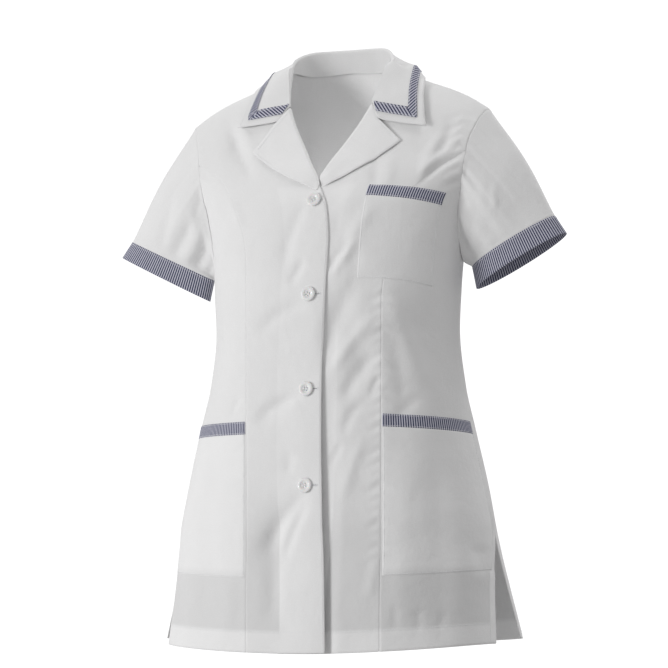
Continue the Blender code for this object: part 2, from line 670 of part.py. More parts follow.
near_ends = {hand: tape_end(hand, TAPE_NEAR) for hand in (-1, 1)}
far_ends = {hand: tape_end(hand, TAPE_FAR) for hand in (-1, 1)}
tape_stop = min(abs(far_ends[-1][-1][0]), abs(far_ends[1][-1][0])) - 0.015
inside = collar_along[np.abs(collar_along) < tape_stop]
near_border = list(near_ends[-1])
far_border = list(far_ends[-1])
for station in inside:
    near_border.append((station, fall_share(station, TAPE_NEAR)))
    far_border.append((station, fall_share(station, TAPE_FAR)))
near_border += near_ends[1][::-1]
far_border += far_ends[1][::-1]
tape_sheet = []
tape_ways = []
for near, far in zip(near_border, far_border):
    line = []
    line_ways = []
    for share in (0.0, 0.5, 1.0):
        station = near[0] * (1 - share) + far[0] * share
        across = near[1] * (1 - share) + far[1] * share
        point, way = collar_at(station, across)
        line.append(point + way * (TAPE_REST + TRIM_CLOTH))
        line_ways.append(way)
    tape_sheet.append(line)
    tape_ways.append(line_ways)
wall("collar_trim", np.array(tape_sheet), np.array(tape_ways), TRIM_CLOTH, STRIPE)


# Lapels: the front facing turned back at the roll line.
# The profile wraps the fold: distance from the roll line and height over the front.
LAPEL_PROFILE_COLUMNS = ("reach", "height")
LAPEL_PROFILE = ((0.0012, -0.0030), (0.0, -0.0016), (0.0, 0.0004), (0.0008, 0.0022), (0.0030, 0.0036))
LAPEL_TOP = -0.0470
LAPEL_LOW = {-1: -0.1540, 1: -0.1395}
LAPEL_REST = 0.0038
LAPEL_EDGE_REST = 0.0024
LAPEL_NOTCH_GAP = (0.0013, 0.0010)
LAPEL_BELLY = (0.0040, -0.0030)


def lapel(word, hand):
    foot = np.array(LAPEL_FOOT[hand])
    tip = np.array(LAPEL_TIP[hand])
    notch = np.array(NOTCH[hand])
    levels = np.linspace(0.0, 1.0, 11)
    heights = LAPEL_LOW[hand] + (LAPEL_TOP - LAPEL_LOW[hand]) * levels
    rolls = np.stack([-edge_reach(heights), heights], -1)
    sheet = []
    for level, roll in zip(levels, rolls):
        belly = np.array(LAPEL_BELLY) * math.sin(math.pi * level)
        outer = foot * (1 - level) + tip * level + belly
        bend = (notch - np.array(LAPEL_NOTCH_GAP) - (rolls[-1] + tip) / 2) * level**6
        middle = (roll + outer) / 2 + bend
        turn = min(1.0, level / 0.25)
        reach = unit(middle - roll)
        line = []
        for out_along, high in LAPEL_PROFILE:
            spot = roll + reach * out_along
            high = high if high > 0 else high * turn
            line.append(on_front(hand * spot[0], spot[1], high, word))
        for share in (0.30, 0.65, 1.0):
            spot = middle * share + (roll + reach * LAPEL_PROFILE[-1][0]) * (1 - share)
            line.append(on_front(hand * spot[0], spot[1], LAPEL_REST, word))
        for share in (0.33, 0.67, 1.0):
            spot = outer * share + middle * (1 - share)
            rest = LAPEL_REST * (1 - share) + LAPEL_EDGE_REST * share
            line.append(on_front(hand * spot[0], spot[1], rest, word))
        sheet.append(line)
    sheet = np.array(sheet)
    own = sheet_ways(sheet)
    if own[5, -1, 1] > 0:
        own = -own
    wall("lapel_" + word, sheet, own, CLOTH, WHITE)


lapel("right", -1)
lapel("left", 1)


# Pockets and their trims
def chest_grid(top, bottom, columns, rows, out):
    share = np.linspace(0.0, 1.0, columns + 1)
    down = np.linspace(0.0, 1.0, rows + 1)[:, None]
    high = read(CHEST_POCKET, CHEST_COLUMNS, top, share)
    low = read(CHEST_POCKET, CHEST_COLUMNS, bottom, share)
    height = high * (1 - down) + low * down
    pocket_top = CHEST_POCKET[0, CHEST_COLUMNS.index("trim_top")]
    pocket_bottom = CHEST_POCKET[-1, CHEST_COLUMNS.index("bag_bottom")]
    fall = (height - pocket_top) / (pocket_bottom - pocket_top)
    angle_top = read(CHEST_POCKET, CHEST_COLUMNS, "angle_top", share)
    angle_bottom = read(CHEST_POCKET, CHEST_COLUMNS, "angle_bottom", share)
    angle = np.radians(angle_top * (1 - fall) + angle_bottom * fall)
    return cloth_point(-1, angle, height, out)


sheet, ways = chest_grid("trim_bottom", "bag_bottom", 10, 8, REST_GAP + POCKET_CLOTH)
sheet[0] = sheet[0] + (sheet[1] - sheet[0]) * 0.03
wall("chest_pocket", sheet, ways, POCKET_CLOTH, WHITE)
sheet, ways = chest_grid("trim_top", "trim_bottom", 10, 2, REST_GAP + POCKET_TRIM_CLOTH)
wall("chest_pocket_trim", sheet, ways, POCKET_TRIM_CLOTH, STRIPE)


def hip_grid(hand, top, bottom, rows, out):
    down = np.linspace(0.0, 1.0, rows + 1)[:, None]
    share = np.linspace(0.0, 1.0, SIDE_COLUMNS + 1)[None, :]
    high = top[0] * (1 - share) + top[1] * share
    low = bottom[0] * (1 - share) + bottom[1] * share
    height = high * (1 - down) + low * down
    start = princess_angle(hand, height) + HIP_INNER_ANGLE
    end = math.radians(HIP_OUTER_ANGLE)
    angle = hand * (start * (1 - share) + end * share)
    return cloth_point(-1, angle, height, out)


for word, hand in (("right", -1), ("left", 1)):
    top = np.array(HIP_TRIM_TOP[hand])
    seam = top - HIP_TRIM_DEPTH
    bottom = np.array((HIP_BAG_BOTTOM, HIP_BAG_BOTTOM + HIP_BAG_SLOPE))
    sheet, ways = hip_grid(hand, seam - SEAM_GAP, bottom, 10, HIP_REST + POCKET_CLOTH)
    wall("hip_pocket_" + word, sheet, ways, POCKET_CLOTH, WHITE)
    sheet, ways = hip_grid(hand, top, seam, 2, HIP_REST + POCKET_TRIM_CLOTH)
    wall("hip_pocket_trim_" + word, sheet, ways, POCKET_TRIM_CLOTH, STRIPE)


# Buttons, turned from one profile: shares of the radius and of the depth
BUTTON_RADIUS = 0.009
BUTTON_DEPTH = 0.0026
BUTTON_REST = 0.0007
BUTTON_PROFILE_COLUMNS = ("radius", "depth")
BUTTON_PROFILE = ((0.00, 0.62), (0.46, 0.62), (0.58, 1.00), (0.86, 1.00), (1.00, 0.55), (0.92, 0.00),
                  (0.00, 0.00))
BUTTON_SIDES = 16


def button(number, height):
    angle = np.arcsin(BUTTON_X / section("half_front", height))
    centre, way = cloth_point(-1, angle, np.array(height), 0.0, "right")
    centre = centre + way * BUTTON_REST
    across = unit(np.cross(np.array((0.0, 0.0, 1.0)), way))
    up = np.cross(way, across)
    points = []
    for distance, high in BUTTON_PROFILE[1:-1]:
        for k in range(BUTTON_SIDES):
            turn = 2 * math.pi * k / BUTTON_SIDES
            flat = (across * math.cos(turn) + up * math.sin(turn)) * distance * BUTTON_RADIUS
            points.append(centre + flat + way * high * BUTTON_DEPTH)
    points.append(centre + way * BUTTON_PROFILE[0][1] * BUTTON_DEPTH)
    points.append(centre)
    top = len(points) - 2
    under = len(points) - 1
    rings = len(BUTTON_PROFILE) - 2
    faces = []
    for k in range(BUTTON_SIDES):
        nxt = (k + 1) % BUTTON_SIDES
        faces.append((top, k, nxt))
        for ring in range(rings - 1):
            here = ring * BUTTON_SIDES
            there = here + BUTTON_SIDES
            faces.append((here + k, there + k, there + nxt, here + nxt))
        end = (rings - 1) * BUTTON_SIDES
        faces.append((under, end + nxt, end + k))
    add_mesh("button_" + str(number), points, faces, PEARL, 0.35)


for number, height in enumerate(BUTTON_HEIGHTS, 1):
    button(number, height)
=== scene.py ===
import math
import bpy
import numpy as np
from mathutils import Matrix


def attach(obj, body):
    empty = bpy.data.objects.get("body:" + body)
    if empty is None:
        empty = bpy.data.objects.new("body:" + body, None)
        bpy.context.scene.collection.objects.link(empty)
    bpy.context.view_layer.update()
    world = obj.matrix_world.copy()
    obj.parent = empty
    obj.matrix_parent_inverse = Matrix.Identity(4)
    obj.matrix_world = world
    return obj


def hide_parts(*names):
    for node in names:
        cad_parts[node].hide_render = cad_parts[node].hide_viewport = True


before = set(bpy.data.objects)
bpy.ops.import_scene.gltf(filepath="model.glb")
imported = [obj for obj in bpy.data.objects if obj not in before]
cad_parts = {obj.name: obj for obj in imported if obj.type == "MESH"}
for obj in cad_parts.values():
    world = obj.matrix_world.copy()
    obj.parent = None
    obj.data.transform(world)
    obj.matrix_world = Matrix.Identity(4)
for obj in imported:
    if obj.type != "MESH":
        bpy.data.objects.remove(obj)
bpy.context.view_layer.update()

# Camera at the photo's angle, low and looking a little up; pixels is the focal length in photo pixels
shot = dict(turn=20.0, away=3.6, height=-0.706, tilt=5.95, pixels=2903.0, aside=4.0, photoWidth=668.0,
            sensor=36.0, clipNear=0.1, clipFar=60.0)


def stand(name, data, right, top, back, place):
    thing = bpy.data.objects.new(name, data)
    bpy.context.scene.collection.objects.link(thing)
    rows = [[float(v) for v in row] for row in zip(right, top, back, place)]
    thing.matrix_world = Matrix(rows + [[0.0, 0.0, 0.0, 1.0]])
    return thing


def placeCamera():
    turn = math.radians(shot["turn"])
    tilt = math.radians(shot["tilt"])
    right = np.array((math.cos(turn), math.sin(turn), 0.0))
    level = np.array((-math.sin(turn), math.cos(turn), 0.0))
    up = np.array((0.0, 0.0, 1.0))
    look = math.cos(tilt) * level + math.sin(tilt) * up
    top = -math.sin(tilt) * level + math.cos(tilt) * up
    aside = right * shot["aside"] / shot["pixels"] * shot["away"]
    place = up * shot["height"] - level * shot["away"] - aside
    data = bpy.data.cameras.new("camera")
    data.sensor_width = shot["sensor"]
    data.lens = shot["sensor"] * shot["pixels"] / shot["photoWidth"]
    data.clip_start = shot["clipNear"]
    data.clip_end = shot["clipFar"]
    bpy.context.scene.camera = stand("camera", data, right, top, -look, place)


placeCamera()
print("camera placed")

# The form, with the same sizes as the solids
bothHands = (("Right", -1), ("Left", 1))
seamGap = 0.0002
neckPoint = 0.071
shoulderTip = 0.1965
underarm = -0.235
hemHeight = -0.714
ventTop = -0.580
squareness = 0.10
frontDip = 0.012
backNeckRise = 0.030
backNeckDrop = 0.022
neckRiseWidth = 0.060
backHemLift = 0.0065
facingTurn = 0.0034
shoulderBowSize = 0.0060

sectionColumns = ("height", "tilt", "halfFront", "halfBack", "depthFront", "depthBack",
                  "middleFront", "middleBack")
sections = np.array([
    (-0.7140, 0.0000, 0.2110, 0.2325, 0.1080, 0.1040, -0.0240, 0.0080),
    (-0.6500, 0.0000, 0.2060, 0.2175, 0.1160, 0.1090, -0.0120, 0.0040),
    (-0.5800, 0.0000, 0.2030, 0.2030, 0.1190, 0.1110, -0.0010, -0.0010),
    (-0.5250, 0.0000, 0.1930, 0.1930, 0.1150, 0.1080, -0.0015, -0.0015),
    (-0.4500, 0.0000, 0.1760, 0.1760, 0.1130, 0.0980, -0.0020, -0.0020),
    (-0.4000, 0.0000, 0.1650, 0.1650, 0.1100, 0.0920, -0.0030, -0.0030),
    (-0.3300, 0.0000, 0.1575, 0.1575, 0.1060, 0.0900, -0.0030, -0.0030),
    (-0.2800, 0.0000, 0.1590, 0.1590, 0.1050, 0.0920, -0.0010, -0.0010),
    (-0.2350, 0.0000, 0.1620, 0.1620, 0.1020, 0.0920, 0.0020, 0.0020),
    (-0.1800, 0.0010, 0.1730, 0.1730, 0.0960, 0.0880, 0.0060, 0.0060),
    (-0.1450, 0.0050, 0.1900, 0.1900, 0.0820, 0.0820, 0.0080, 0.0080),
    (-0.1050, 0.0140, 0.2200, 0.2200, 0.0600, 0.0740, 0.0090, 0.0090),
    (-0.0700, 0.0260, 0.2400, 0.2400, 0.0440, 0.0650, 0.0090, 0.0090),
    (-0.0400, 0.0390, 0.2500, 0.2500, 0.0310, 0.0530, 0.0090, 0.0090),
    (-0.0180, 0.0500, 0.2550, 0.2550, 0.0195, 0.0400, 0.0090, 0.0090),
    (-0.0050, 0.0548, 0.2580, 0.2580, 0.0090, 0.0230, 0.0090, 0.0090),
    (0.0000, 0.0570, 0.2600, 0.2600, 0.0000, 0.0000, 0.0090, 0.0090),
])
armholeColumns = ("height", "angle")
armhole = np.array([
    (-0.2350, 90.0), (-0.2280, 84.5), (-0.2150, 79.5), (-0.1900, 74.7), (-0.1628, 69.4),
    (-0.1425, 63.6), (-0.1100, 54.2), (-0.0700, 49.0), (-0.0300, 48.4), (0.0000, 49.1),
])
princessColumns = ("height", "right", "left")
princess = np.array([
    (-0.7140, 0.0700, 0.0965), (-0.5700, 0.0756, 0.0935), (-0.4400, 0.0795, 0.0912),
    (-0.3000, 0.0850, 0.0890), (-0.2500, 0.0885, 0.0940), (-0.2120, 0.0955, 0.0980),
    (-0.1800, 0.1080, 0.1070), (-0.1500, 0.1265, 0.1290), (-0.1250, 0.1470, 0.1520),
    (-0.1000, 0.1785, 0.1785),
])
frontEdgeColumns = ("height", "reach")
frontEdge = np.array([
    (-0.7140, 0.0315), (-0.6500, 0.0290), (-0.5800, 0.0240), (-0.4900, 0.0205),
    (-0.3800, 0.0195), (-0.3000, 0.0215), (-0.2300, 0.0225), (-0.2086, 0.0210),
    (-0.1793, 0.0160), (-0.1604, 0.0072), (-0.1425, 0.0000), (-0.1284, -0.0095),
    (-0.1050, -0.0235), (-0.0750, -0.0408), (-0.0450, -0.0543), (-0.0200, -0.0620),
    (0.0000, -0.0690),
])

# Folds and creases: ridges positive, troughs negative; bow bends the line sideways
foldColumns = ("side", "xFrom", "zFrom", "xTo", "zTo", "width", "rise", "bow")
# the solids' own folds
solidFolds = (
    (-1, -0.132, -0.075, -0.104, -0.150, 0.014, -0.0022, 0.0),
    (-1, 0.034, -0.205, 0.062, -0.262, 0.013, -0.0020, 0.0),
    (-1, 0.036, -0.300, 0.078, -0.392, 0.016, -0.0026, 0.0),
    (-1, 0.042, -0.405, 0.084, -0.432, 0.013, -0.0020, 0.0),
    (-1, -0.024, -0.425, -0.062, -0.446, 0.013, -0.0020, 0.0),
    (-1, -0.030, -0.545, -0.052, -0.610, 0.015, -0.0022, 0.0),
    (-1, -0.140, -0.300, -0.150, -0.420, 0.020, -0.0024, 0.0),
    (-1, 0.128, -0.310, 0.134, -0.415, 0.018, -0.0022, 0.0),
    (1, -0.060, -0.330, -0.105, -0.430, 0.022, -0.0035, 0.0),
    (1, 0.050, -0.300, 0.098, -0.400, 0.020, -0.0030, 0.0),
    (1, -0.070, -0.520, -0.080, -0.700, 0.030, 0.0045, 0.0),
    (1, 0.085, -0.540, 0.098, -0.700, 0.028, 0.0040, 0.0),
    (1, 0.120, -0.120, 0.090, -0.210, 0.018, -0.0025, 0.0),
    (1, -0.125, -0.115, -0.098, -0.200, 0.018, -0.0025, 0.0),
)
# finer creases, only on the cloth, and how much stronger than stated they are made
creaseGain = 1.9
fineFolds = (
    (-1, -0.143, -0.057, -0.092, -0.140, 0.008, -0.0012, 0.002),
    (-1, -0.126, -0.050, -0.078, -0.128, 0.008, 0.0009, 0.002),
    (-1, -0.120, -0.162, -0.098, -0.201, 0.008, 0.0012, 0.0),
    (-1, -0.013, -0.182, -0.034, -0.251, 0.009, -0.0012, 0.003),
    (-1, -0.008, -0.252, -0.023, -0.277, 0.006, -0.0010, 0.0),
    (-1, -0.009, -0.307, -0.062, -0.331, 0.009, -0.0015, 0.004),
    (-1, -0.012, -0.418, -0.061, -0.440, 0.007, -0.0013, 0.003),
    (-1, -0.004, -0.540, -0.052, -0.602, 0.010, -0.0021, 0.003),
    (-1, 0.001, -0.552, -0.024, -0.612, 0.007, -0.0013, 0.002),
    (-1, -0.040, -0.578, -0.038, -0.676, 0.012, -0.0018, 0.0),
    (-1, -0.136, -0.335, -0.121, -0.379, 0.009, -0.0010, 0.0),
    (-1, -0.103, -0.436, -0.092, -0.416, 0.005, -0.0008, 0.0),
    (-1, -0.021, -0.486, -0.022, -0.510, 0.008, -0.0008, 0.0),
    (-1, 0.172, -0.118, 0.130, -0.153, 0.0045, -0.0013, 0.003),
    (-1, 0.164, -0.108, 0.132, -0.138, 0.005, 0.0011, 0.002),
    (-1, 0.146, -0.094, 0.128, -0.147, 0.007, 0.0013, 0.002),
    (-1, 0.158, -0.076, 0.147, -0.120, 0.007, -0.0010, 0.0),
    (-1, 0.068, -0.118, 0.076, -0.157, 0.006, -0.0010, 0.0),
    (-1, 0.087, -0.122, 0.093, -0.154, 0.007, 0.0009, 0.0),
    (-1, 0.045, -0.234, 0.026, -0.260, 0.006, -0.0013, 0.0),
    (-1, 0.058, -0.228, 0.030, -0.272, 0.006, 0.0011, 0.002),
    (-1, 0.056, -0.280, 0.026, -0.362, 0.012, -0.0020, 0.003),
    (-1, 0.078, -0.326, 0.032, -0.389, 0.008, 0.0015, 0.003),
    (-1, 0.080, -0.372, 0.048, -0.420, 0.009, -0.0018, 0.003),
    (-1, 0.088, -0.397, 0.079, -0.414, 0.004, -0.0010, 0.0),
    (-1, 0.067, -0.428, 0.048, -0.462, 0.007, -0.0012, 0.003),
    (-1, 0.044, -0.477, 0.033, -0.498, 0.005, -0.0009, 0.0),
    (-1, 0.069, -0.476, 0.050, -0.534, 0.008, 0.0011, 0.002),
    (-1, 0.096, -0.290, 0.142, -0.412, 0.013, 0.0017, 0.004),
    (-1, 0.104, -0.345, 0.116, -0.430, 0.009, -0.0010, 0.0),
    (-1, 0.091, -0.610, 0.083, -0.656, 0.007, 0.0009, 0.0),
    (-1, 0.114, -0.696, 0.112, -0.672, 0.005, -0.0006, 0.0),
    (-1, 0.141, -0.696, 0.138, -0.676, 0.005, -0.0006, 0.0),
    (-1, 0.162, -0.696, 0.166, -0.678, 0.005, -0.0005, 0.0),
    (-1, 0.195, -0.600, 0.200, -0.629, 0.007, -0.0012, 0.0),
    (-1, 0.120, -0.500, 0.118, -0.690, 0.016, 0.0011, 0.0),
    (-1, 0.156, -0.480, 0.164, -0.690, 0.015, -0.0011, 0.0),
    (-1, -0.128, -0.500, -0.138, -0.690, 0.016, -0.0009, 0.0),
    (-1, -0.096, -0.640, -0.100, -0.700, 0.012, 0.0008, 0.0),
    (-1, 0.071, -0.190, 0.043, -0.254, 0.009, 0.0013, 0.003),
    (-1, 0.130, -0.420, 0.108, -0.446, 0.007, -0.0008, 0.0),
    (1, -0.030, -0.100, -0.042, -0.240, 0.013, -0.0014, 0.004),
    (1, 0.024, -0.090, 0.020, -0.260, 0.012, 0.0012, 0.003),
    (1, 0.118, -0.250, 0.040, -0.345, 0.007, -0.0015, 0.006),
    (1, 0.128, -0.290, 0.064, -0.352, 0.006, 0.0013, 0.005),
    (1, -0.122, -0.262, -0.052, -0.338, 0.007, -0.0014, 0.005),
    (1, -0.116, -0.318, -0.070, -0.366, 0.006, 0.0012, 0.004),
    (1, 0.030, -0.372, 0.088, -0.446, 0.008, -0.0013, 0.005),
    (1, -0.020, -0.386, -0.060, -0.440, 0.008, 0.0010, 0.004),
    (1, 0.010, -0.500, 0.004, -0.690, 0.016, -0.0016, 0.004),
    (1, -0.150, -0.500, -0.166, -0.700, 0.014, -0.0012, 0.0),
    (1, 0.150, -0.480, 0.170, -0.700, 0.015, -0.0013, 0.0),
    (1, 0.146, -0.100, 0.120, -0.170, 0.007, 0.0010, 0.002),
    (1, -0.150, -0.110, -0.126, -0.172, 0.007, -0.0010, 0.002),
    (1, -0.070, -0.060, -0.080, -0.130, 0.009, 0.0009, 0.0),
)

# Small puckers along a seam on the front: x of the seam, its ends, their depth, width and seed
puckerColumns = ("x", "zFrom", "zTo", "depth", "width", "seed")
puckers = (
    (0.0905, -0.620, -0.280, 0.00055, 0.011, 1.0),
    (-0.0830, -0.620, -0.300, 0.00022, 0.010, 4.0),
    (0.1700, -0.170, -0.070, 0.00060, 0.014, 7.0),
    (-0.1700, -0.170, -0.080, 0.00025, 0.012, 9.0),
)


def smooth(start, end, value):
    share = np.clip((value - start) / (end - start), 0.0, 1.0)
    return share * share * (3.0 - 2.0 * share)


# a smooth line through a table that never goes past its rows
def curve(xs, ys, value):
    xs = np.asarray(xs, float)
    ys = np.asarray(ys, float)
    step = np.diff(xs)
    rise = np.diff(ys) / step
    slope = np.zeros_like(xs)
    slope[0] = rise[0]
    slope[-1] = rise[-1]
    for i in range(1, len(xs) - 1):
        if rise[i - 1] * rise[i] > 0:
            first = 2 * step[i] + step[i - 1]
            second = step[i] + 2 * step[i - 1]
            slope[i] = (first + second) / (first / rise[i - 1] + second / rise[i])
    value = np.clip(value, xs[0], xs[-1])
    i = np.clip(np.searchsorted(xs, value) - 1, 0, len(xs) - 2)
    t = (value - xs[i]) / step[i]
    return ((2 * t**3 - 3 * t**2 + 1) * ys[i] + (t**3 - 2 * t**2 + t) * step[i] * slope[i]
            + (3 * t**2 - 2 * t**3) * ys[i + 1] + (t**3 - t**2) * step[i] * slope[i + 1])


def readTable(table, columns, name, value):
    return curve(table[:, 0], table[:, columns.index(name)], value)


def section(name, height):
    return readTable(sections, sectionColumns, name, height)


def unit(vectors):
    return vectors / np.maximum(np.linalg.norm(vectors, axis=-1, keepdims=True), 1e-12)


def neckRise(x):
    return backNeckRise * np.exp(-(x / neckRiseWidth) ** 2)


def shoulderRamp(x):
    return np.clip((np.abs(x) - neckPoint) / (shoulderTip - neckPoint), 0.0, 1.4)


def shoulderBow(ramp, height):
    arch = np.sin(math.pi * np.clip(ramp, 0.0, 1.0) ** 1.8)
    return shoulderBowSize * arch * smooth(-0.12, -0.01, height)


# side -1 is the front and +1 the back; the angle is measured from the middle
def body(side, angle, height):
    word = "Front" if side < 0 else "Back"
    angle = np.asarray(angle, float)
    height = np.asarray(height, float)
    x = section("half" + word, height) * np.sin(angle)
    fullness = np.cos(angle) * (1 + squareness * np.sin(angle) ** 2)
    y = section("middle" + word, height) + side * section("depth" + word, height) * fullness
    ramp = shoulderRamp(x)
    z = height - section("tilt", height) * ramp + shoulderBow(ramp, height)
    if side < 0:
        z = z - frontDip * np.cos(angle) ** 2 * smooth(ventTop, hemHeight, height)
        z = z + neckRise(x) * smooth(-0.035, -0.004, height)
    else:
        z = z + backHemLift * np.sin(angle) ** 2 * smooth(ventTop, hemHeight, height)
        z = z + neckRise(x) * smooth(-0.13, -0.02, height)
    return np.stack(np.broadcast_arrays(x, y, z), -1)


def outward(side, angle, height):
    small = 1e-4
    low = np.clip(height - small, hemHeight, 0.0)
    high = np.clip(height + small, hemHeight, 0.0)
    across = body(side, angle + small, height) - body(side, angle - small, height)
    up = body(side, angle, high) - body(side, angle, low)
    way = unit(np.cross(across, up)) * (-side)
    lean = math.atan2(section("tilt", 0.0), shoulderTip - neckPoint)
    seam = np.stack(np.broadcast_arrays(np.sign(angle) * math.sin(lean), 0.0, math.cos(lean)), -1)
    near = smooth(-0.006, 0.0, np.asarray(height, float))[..., None]
    return unit(way * (1 - near) + seam * near)


# three waves that never fall in step: length, share and how far the seed turns each
waveParts = ((0.0023, 1.0, 1.0), (0.0037, 0.8, 2.1), (0.0071, 0.6, 3.7))


def wave(place, seed):
    return sum(share * np.sin(place / length + turn * seed) for length, share, turn in waveParts)


# the form turns at the princess seams: height of the rounded corner and its width
seamTurn = dict(rise=0.0026, width=0.024, top=-0.22, bottom=-0.36)


def seamCorner(x, z):
    total = 0.0
    for word, sign in (("right", -1), ("left", 1)):
        seam = sign * curve(princess[:, 0], princess[:, princessColumns.index(word)], z)
        away = np.sqrt((x - seam) ** 2 + 0.002**2)
        total = total + seamTurn["rise"] * np.exp(-away / seamTurn["width"])
    return total * smooth(seamTurn["top"], seamTurn["bottom"], z)


# 1 along the middle of a crease, fading out past both its ends
def creaseFade(along, start, end):
    return smooth(-0.25, start, along) * smooth(1.25, end, along)


def foldHeight(side, x, z):
    total = np.zeros(np.broadcast(x, z).shape)
    for gain, row in [(1.0, row) for row in solidFolds] + [(creaseGain, row) for row in fineFolds]:
        fold = dict(zip(foldColumns, row))
        if fold["side"] != side:
            continue
        runX = fold["xTo"] - fold["xFrom"]
        runZ = fold["zTo"] - fold["zFrom"]
        length = math.hypot(runX, runZ)
        fromX = x - fold["xFrom"]
        fromZ = z - fold["zFrom"]
        along = (fromX * runX + fromZ * runZ) / length**2
        across = (fromX * runZ - fromZ * runX) / length - fold["bow"] * 4 * along * (1 - along)
        peak = gain * fold["rise"] * creaseFade(along, 0.25, 0.75)
        total = total + peak * np.exp(-(across / fold["width"]) ** 2)
    if side < 0:
        total = total + seamCorner(x, z)
        for row in puckers:
            seam = dict(zip(puckerColumns, row))
            fade = smooth(seam["zFrom"] - 0.02, seam["zFrom"] + 0.02, z)
            fade = fade * smooth(seam["zTo"] + 0.02, seam["zTo"] - 0.02, z)
            away = x - seam["x"]
            depth = seam["depth"] * fade * np.exp(-(away / seam["width"]) ** 2)
            total = total + depth * wave(z + 0.5 * np.abs(away), seam["seed"])
    return total


# the right front lies over the left one, and they stand further apart towards the hem
lap = dict(over=0.0002, overLow=0.0035, under=0.0019, underLow=0.0028)


def lapShift(owner, x, height):
    down = smooth(-0.22, -0.68, height)
    if owner == "right":
        over = lap["over"] + lap["overLow"] * down
        return over * smooth(-0.035, 0.020, x) * smooth(-0.14, -0.19, height)
    if owner == "left":
        under = lap["under"] + lap["underLow"] * down
        return -under * smooth(0.050, 0.027, x) * smooth(-0.118, -0.140, height)
    return 0.0


def clothPoint(side, angle, height, out=0.0, owner=""):
    base = body(side, angle, height)
    way = outward(side, angle, height)
    lift = foldHeight(side, base[..., 0], base[..., 2]) + lapShift(owner, base[..., 0], height) + out
    return base + way * np.asarray(lift)[..., None], way


def frontAt(x, z):
    x = np.asarray(x, float)
    z = np.asarray(z, float)
    ramp = shoulderRamp(x)
    height = z.copy()
    for _ in range(30):
        climb = shoulderBow(ramp, height) + neckRise(x) * smooth(-0.035, -0.004, height)
        better = z + section("tilt", height) * ramp - climb
        height = np.clip(0.5 * height + 0.5 * better, hemHeight, 0.0)
    return np.arcsin(np.clip(x / section("halfFront", height), -0.999, 0.999)), height


def onFront(x, z, out, owner=""):
    angle, height = frontAt(x, z)
    return clothPoint(-1, angle, height, out, owner)[0]


def armholeAngle(height):
    return np.radians(readTable(armhole, armholeColumns, "angle", height))


def edgeReach(height):
    return readTable(frontEdge, frontEdgeColumns, "reach", height)


def princessAngle(hand, height):
    reach = readTable(princess, princessColumns, "left" if hand > 0 else "right", height)
    return np.arcsin(np.clip(reach / section("halfFront", height), 0.0, 1.0))


def gapAngle(height):
    return 0.5 * seamGap / section("halfFront", height)


def frontInner(height):
    reach = facingTurn * smooth(-0.162, -0.146, height) - edgeReach(height)
    return np.arcsin(np.clip(reach / section("halfFront", height), -0.9, 0.9))


def frontLimits(hand, height):
    aboveSeam = height > princess[-1, 0] - 0.0005
    seam = np.where(aboveSeam, math.pi, princessAngle(hand, height))
    outer = np.minimum(seam, armholeAngle(height)) - gapAngle(height)
    return frontInner(height), outer


def sideLimits(hand, rows):
    start = princessAngle(hand, rows) + gapAngle(rows)
    end = np.minimum(armholeAngle(np.maximum(rows, underarm)), math.pi / 2) - gapAngle(rows)
    return start, end


# Materials. The cloth's UVs are in metres of flat cloth, so weave and stripes keep their real size.
def newMaterial(name):
    material = bpy.data.materials.new(name)
    material.use_nodes = True
    tree = material.node_tree
    return material, tree, tree.nodes["Principled BSDF"]


def addNode(tree, kind, inputs=None, **settings):
    node = tree.nodes.new(kind)
    for key, value in settings.items():
        setattr(node, key, value)
    for key, value in (inputs or {}).items():
        if isinstance(value, bpy.types.NodeSocket):
            tree.links.new(value, node.inputs[key])
        else:
            node.inputs[key].default_value = value
    return node


def maths(tree, operation, first, second=0.0):
    return addNode(tree, "ShaderNodeMath", {0: first, 1: second}, operation=operation).outputs[0]


def mixColour(tree, factor, first, second):
    node = addNode(tree, "ShaderNodeMix", data_type="RGBA")
    for index, value in ((0, factor), (6, first), (7, second)):
        if isinstance(value, bpy.types.NodeSocket):
            tree.links.new(value, node.inputs[index])
        else:
            node.inputs[index].default_value = value
    return node.outputs[2]


def mapRange(tree, value, *limits):
    inputs = dict(enumerate((value, *limits)))
    return addNode(tree, "ShaderNodeMapRange", inputs).outputs[0]


def setSockets(shader, values):
    for socket, value in values.items():
        shader.inputs[socket].default_value = value


# Twill: spacing of its ribs and threads and their depth; crumple and speck are scales of noise
weave = dict(rib=0.00062, thread=0.00034, ribShare=0.7, threadShare=0.3, depth=0.00006, strength=0.35,
             crumple=24.0, crumpleDepth=0.0022, speck=900.0)
# painted shade: single cloth gets a darker white than double, standing in for the shaded hollow seen through
# thin cloth
whiteWithHollowShade = dict(single=(0.723, 0.722, 0.723, 1.0), double=(0.853, 0.852, 0.853, 1.0))
stripeTone = dict(period=0.0030, edge=(0.235, 0.295), dark=(0.030, 0.033, 0.085, 1.0),
                  light=(0.56, 0.565, 0.65, 1.0))
clothFinish = {"Roughness": 0.86, "Specular IOR Level": 0.25, "Sheen Weight": 0.12, "Sheen Roughness": 0.5}


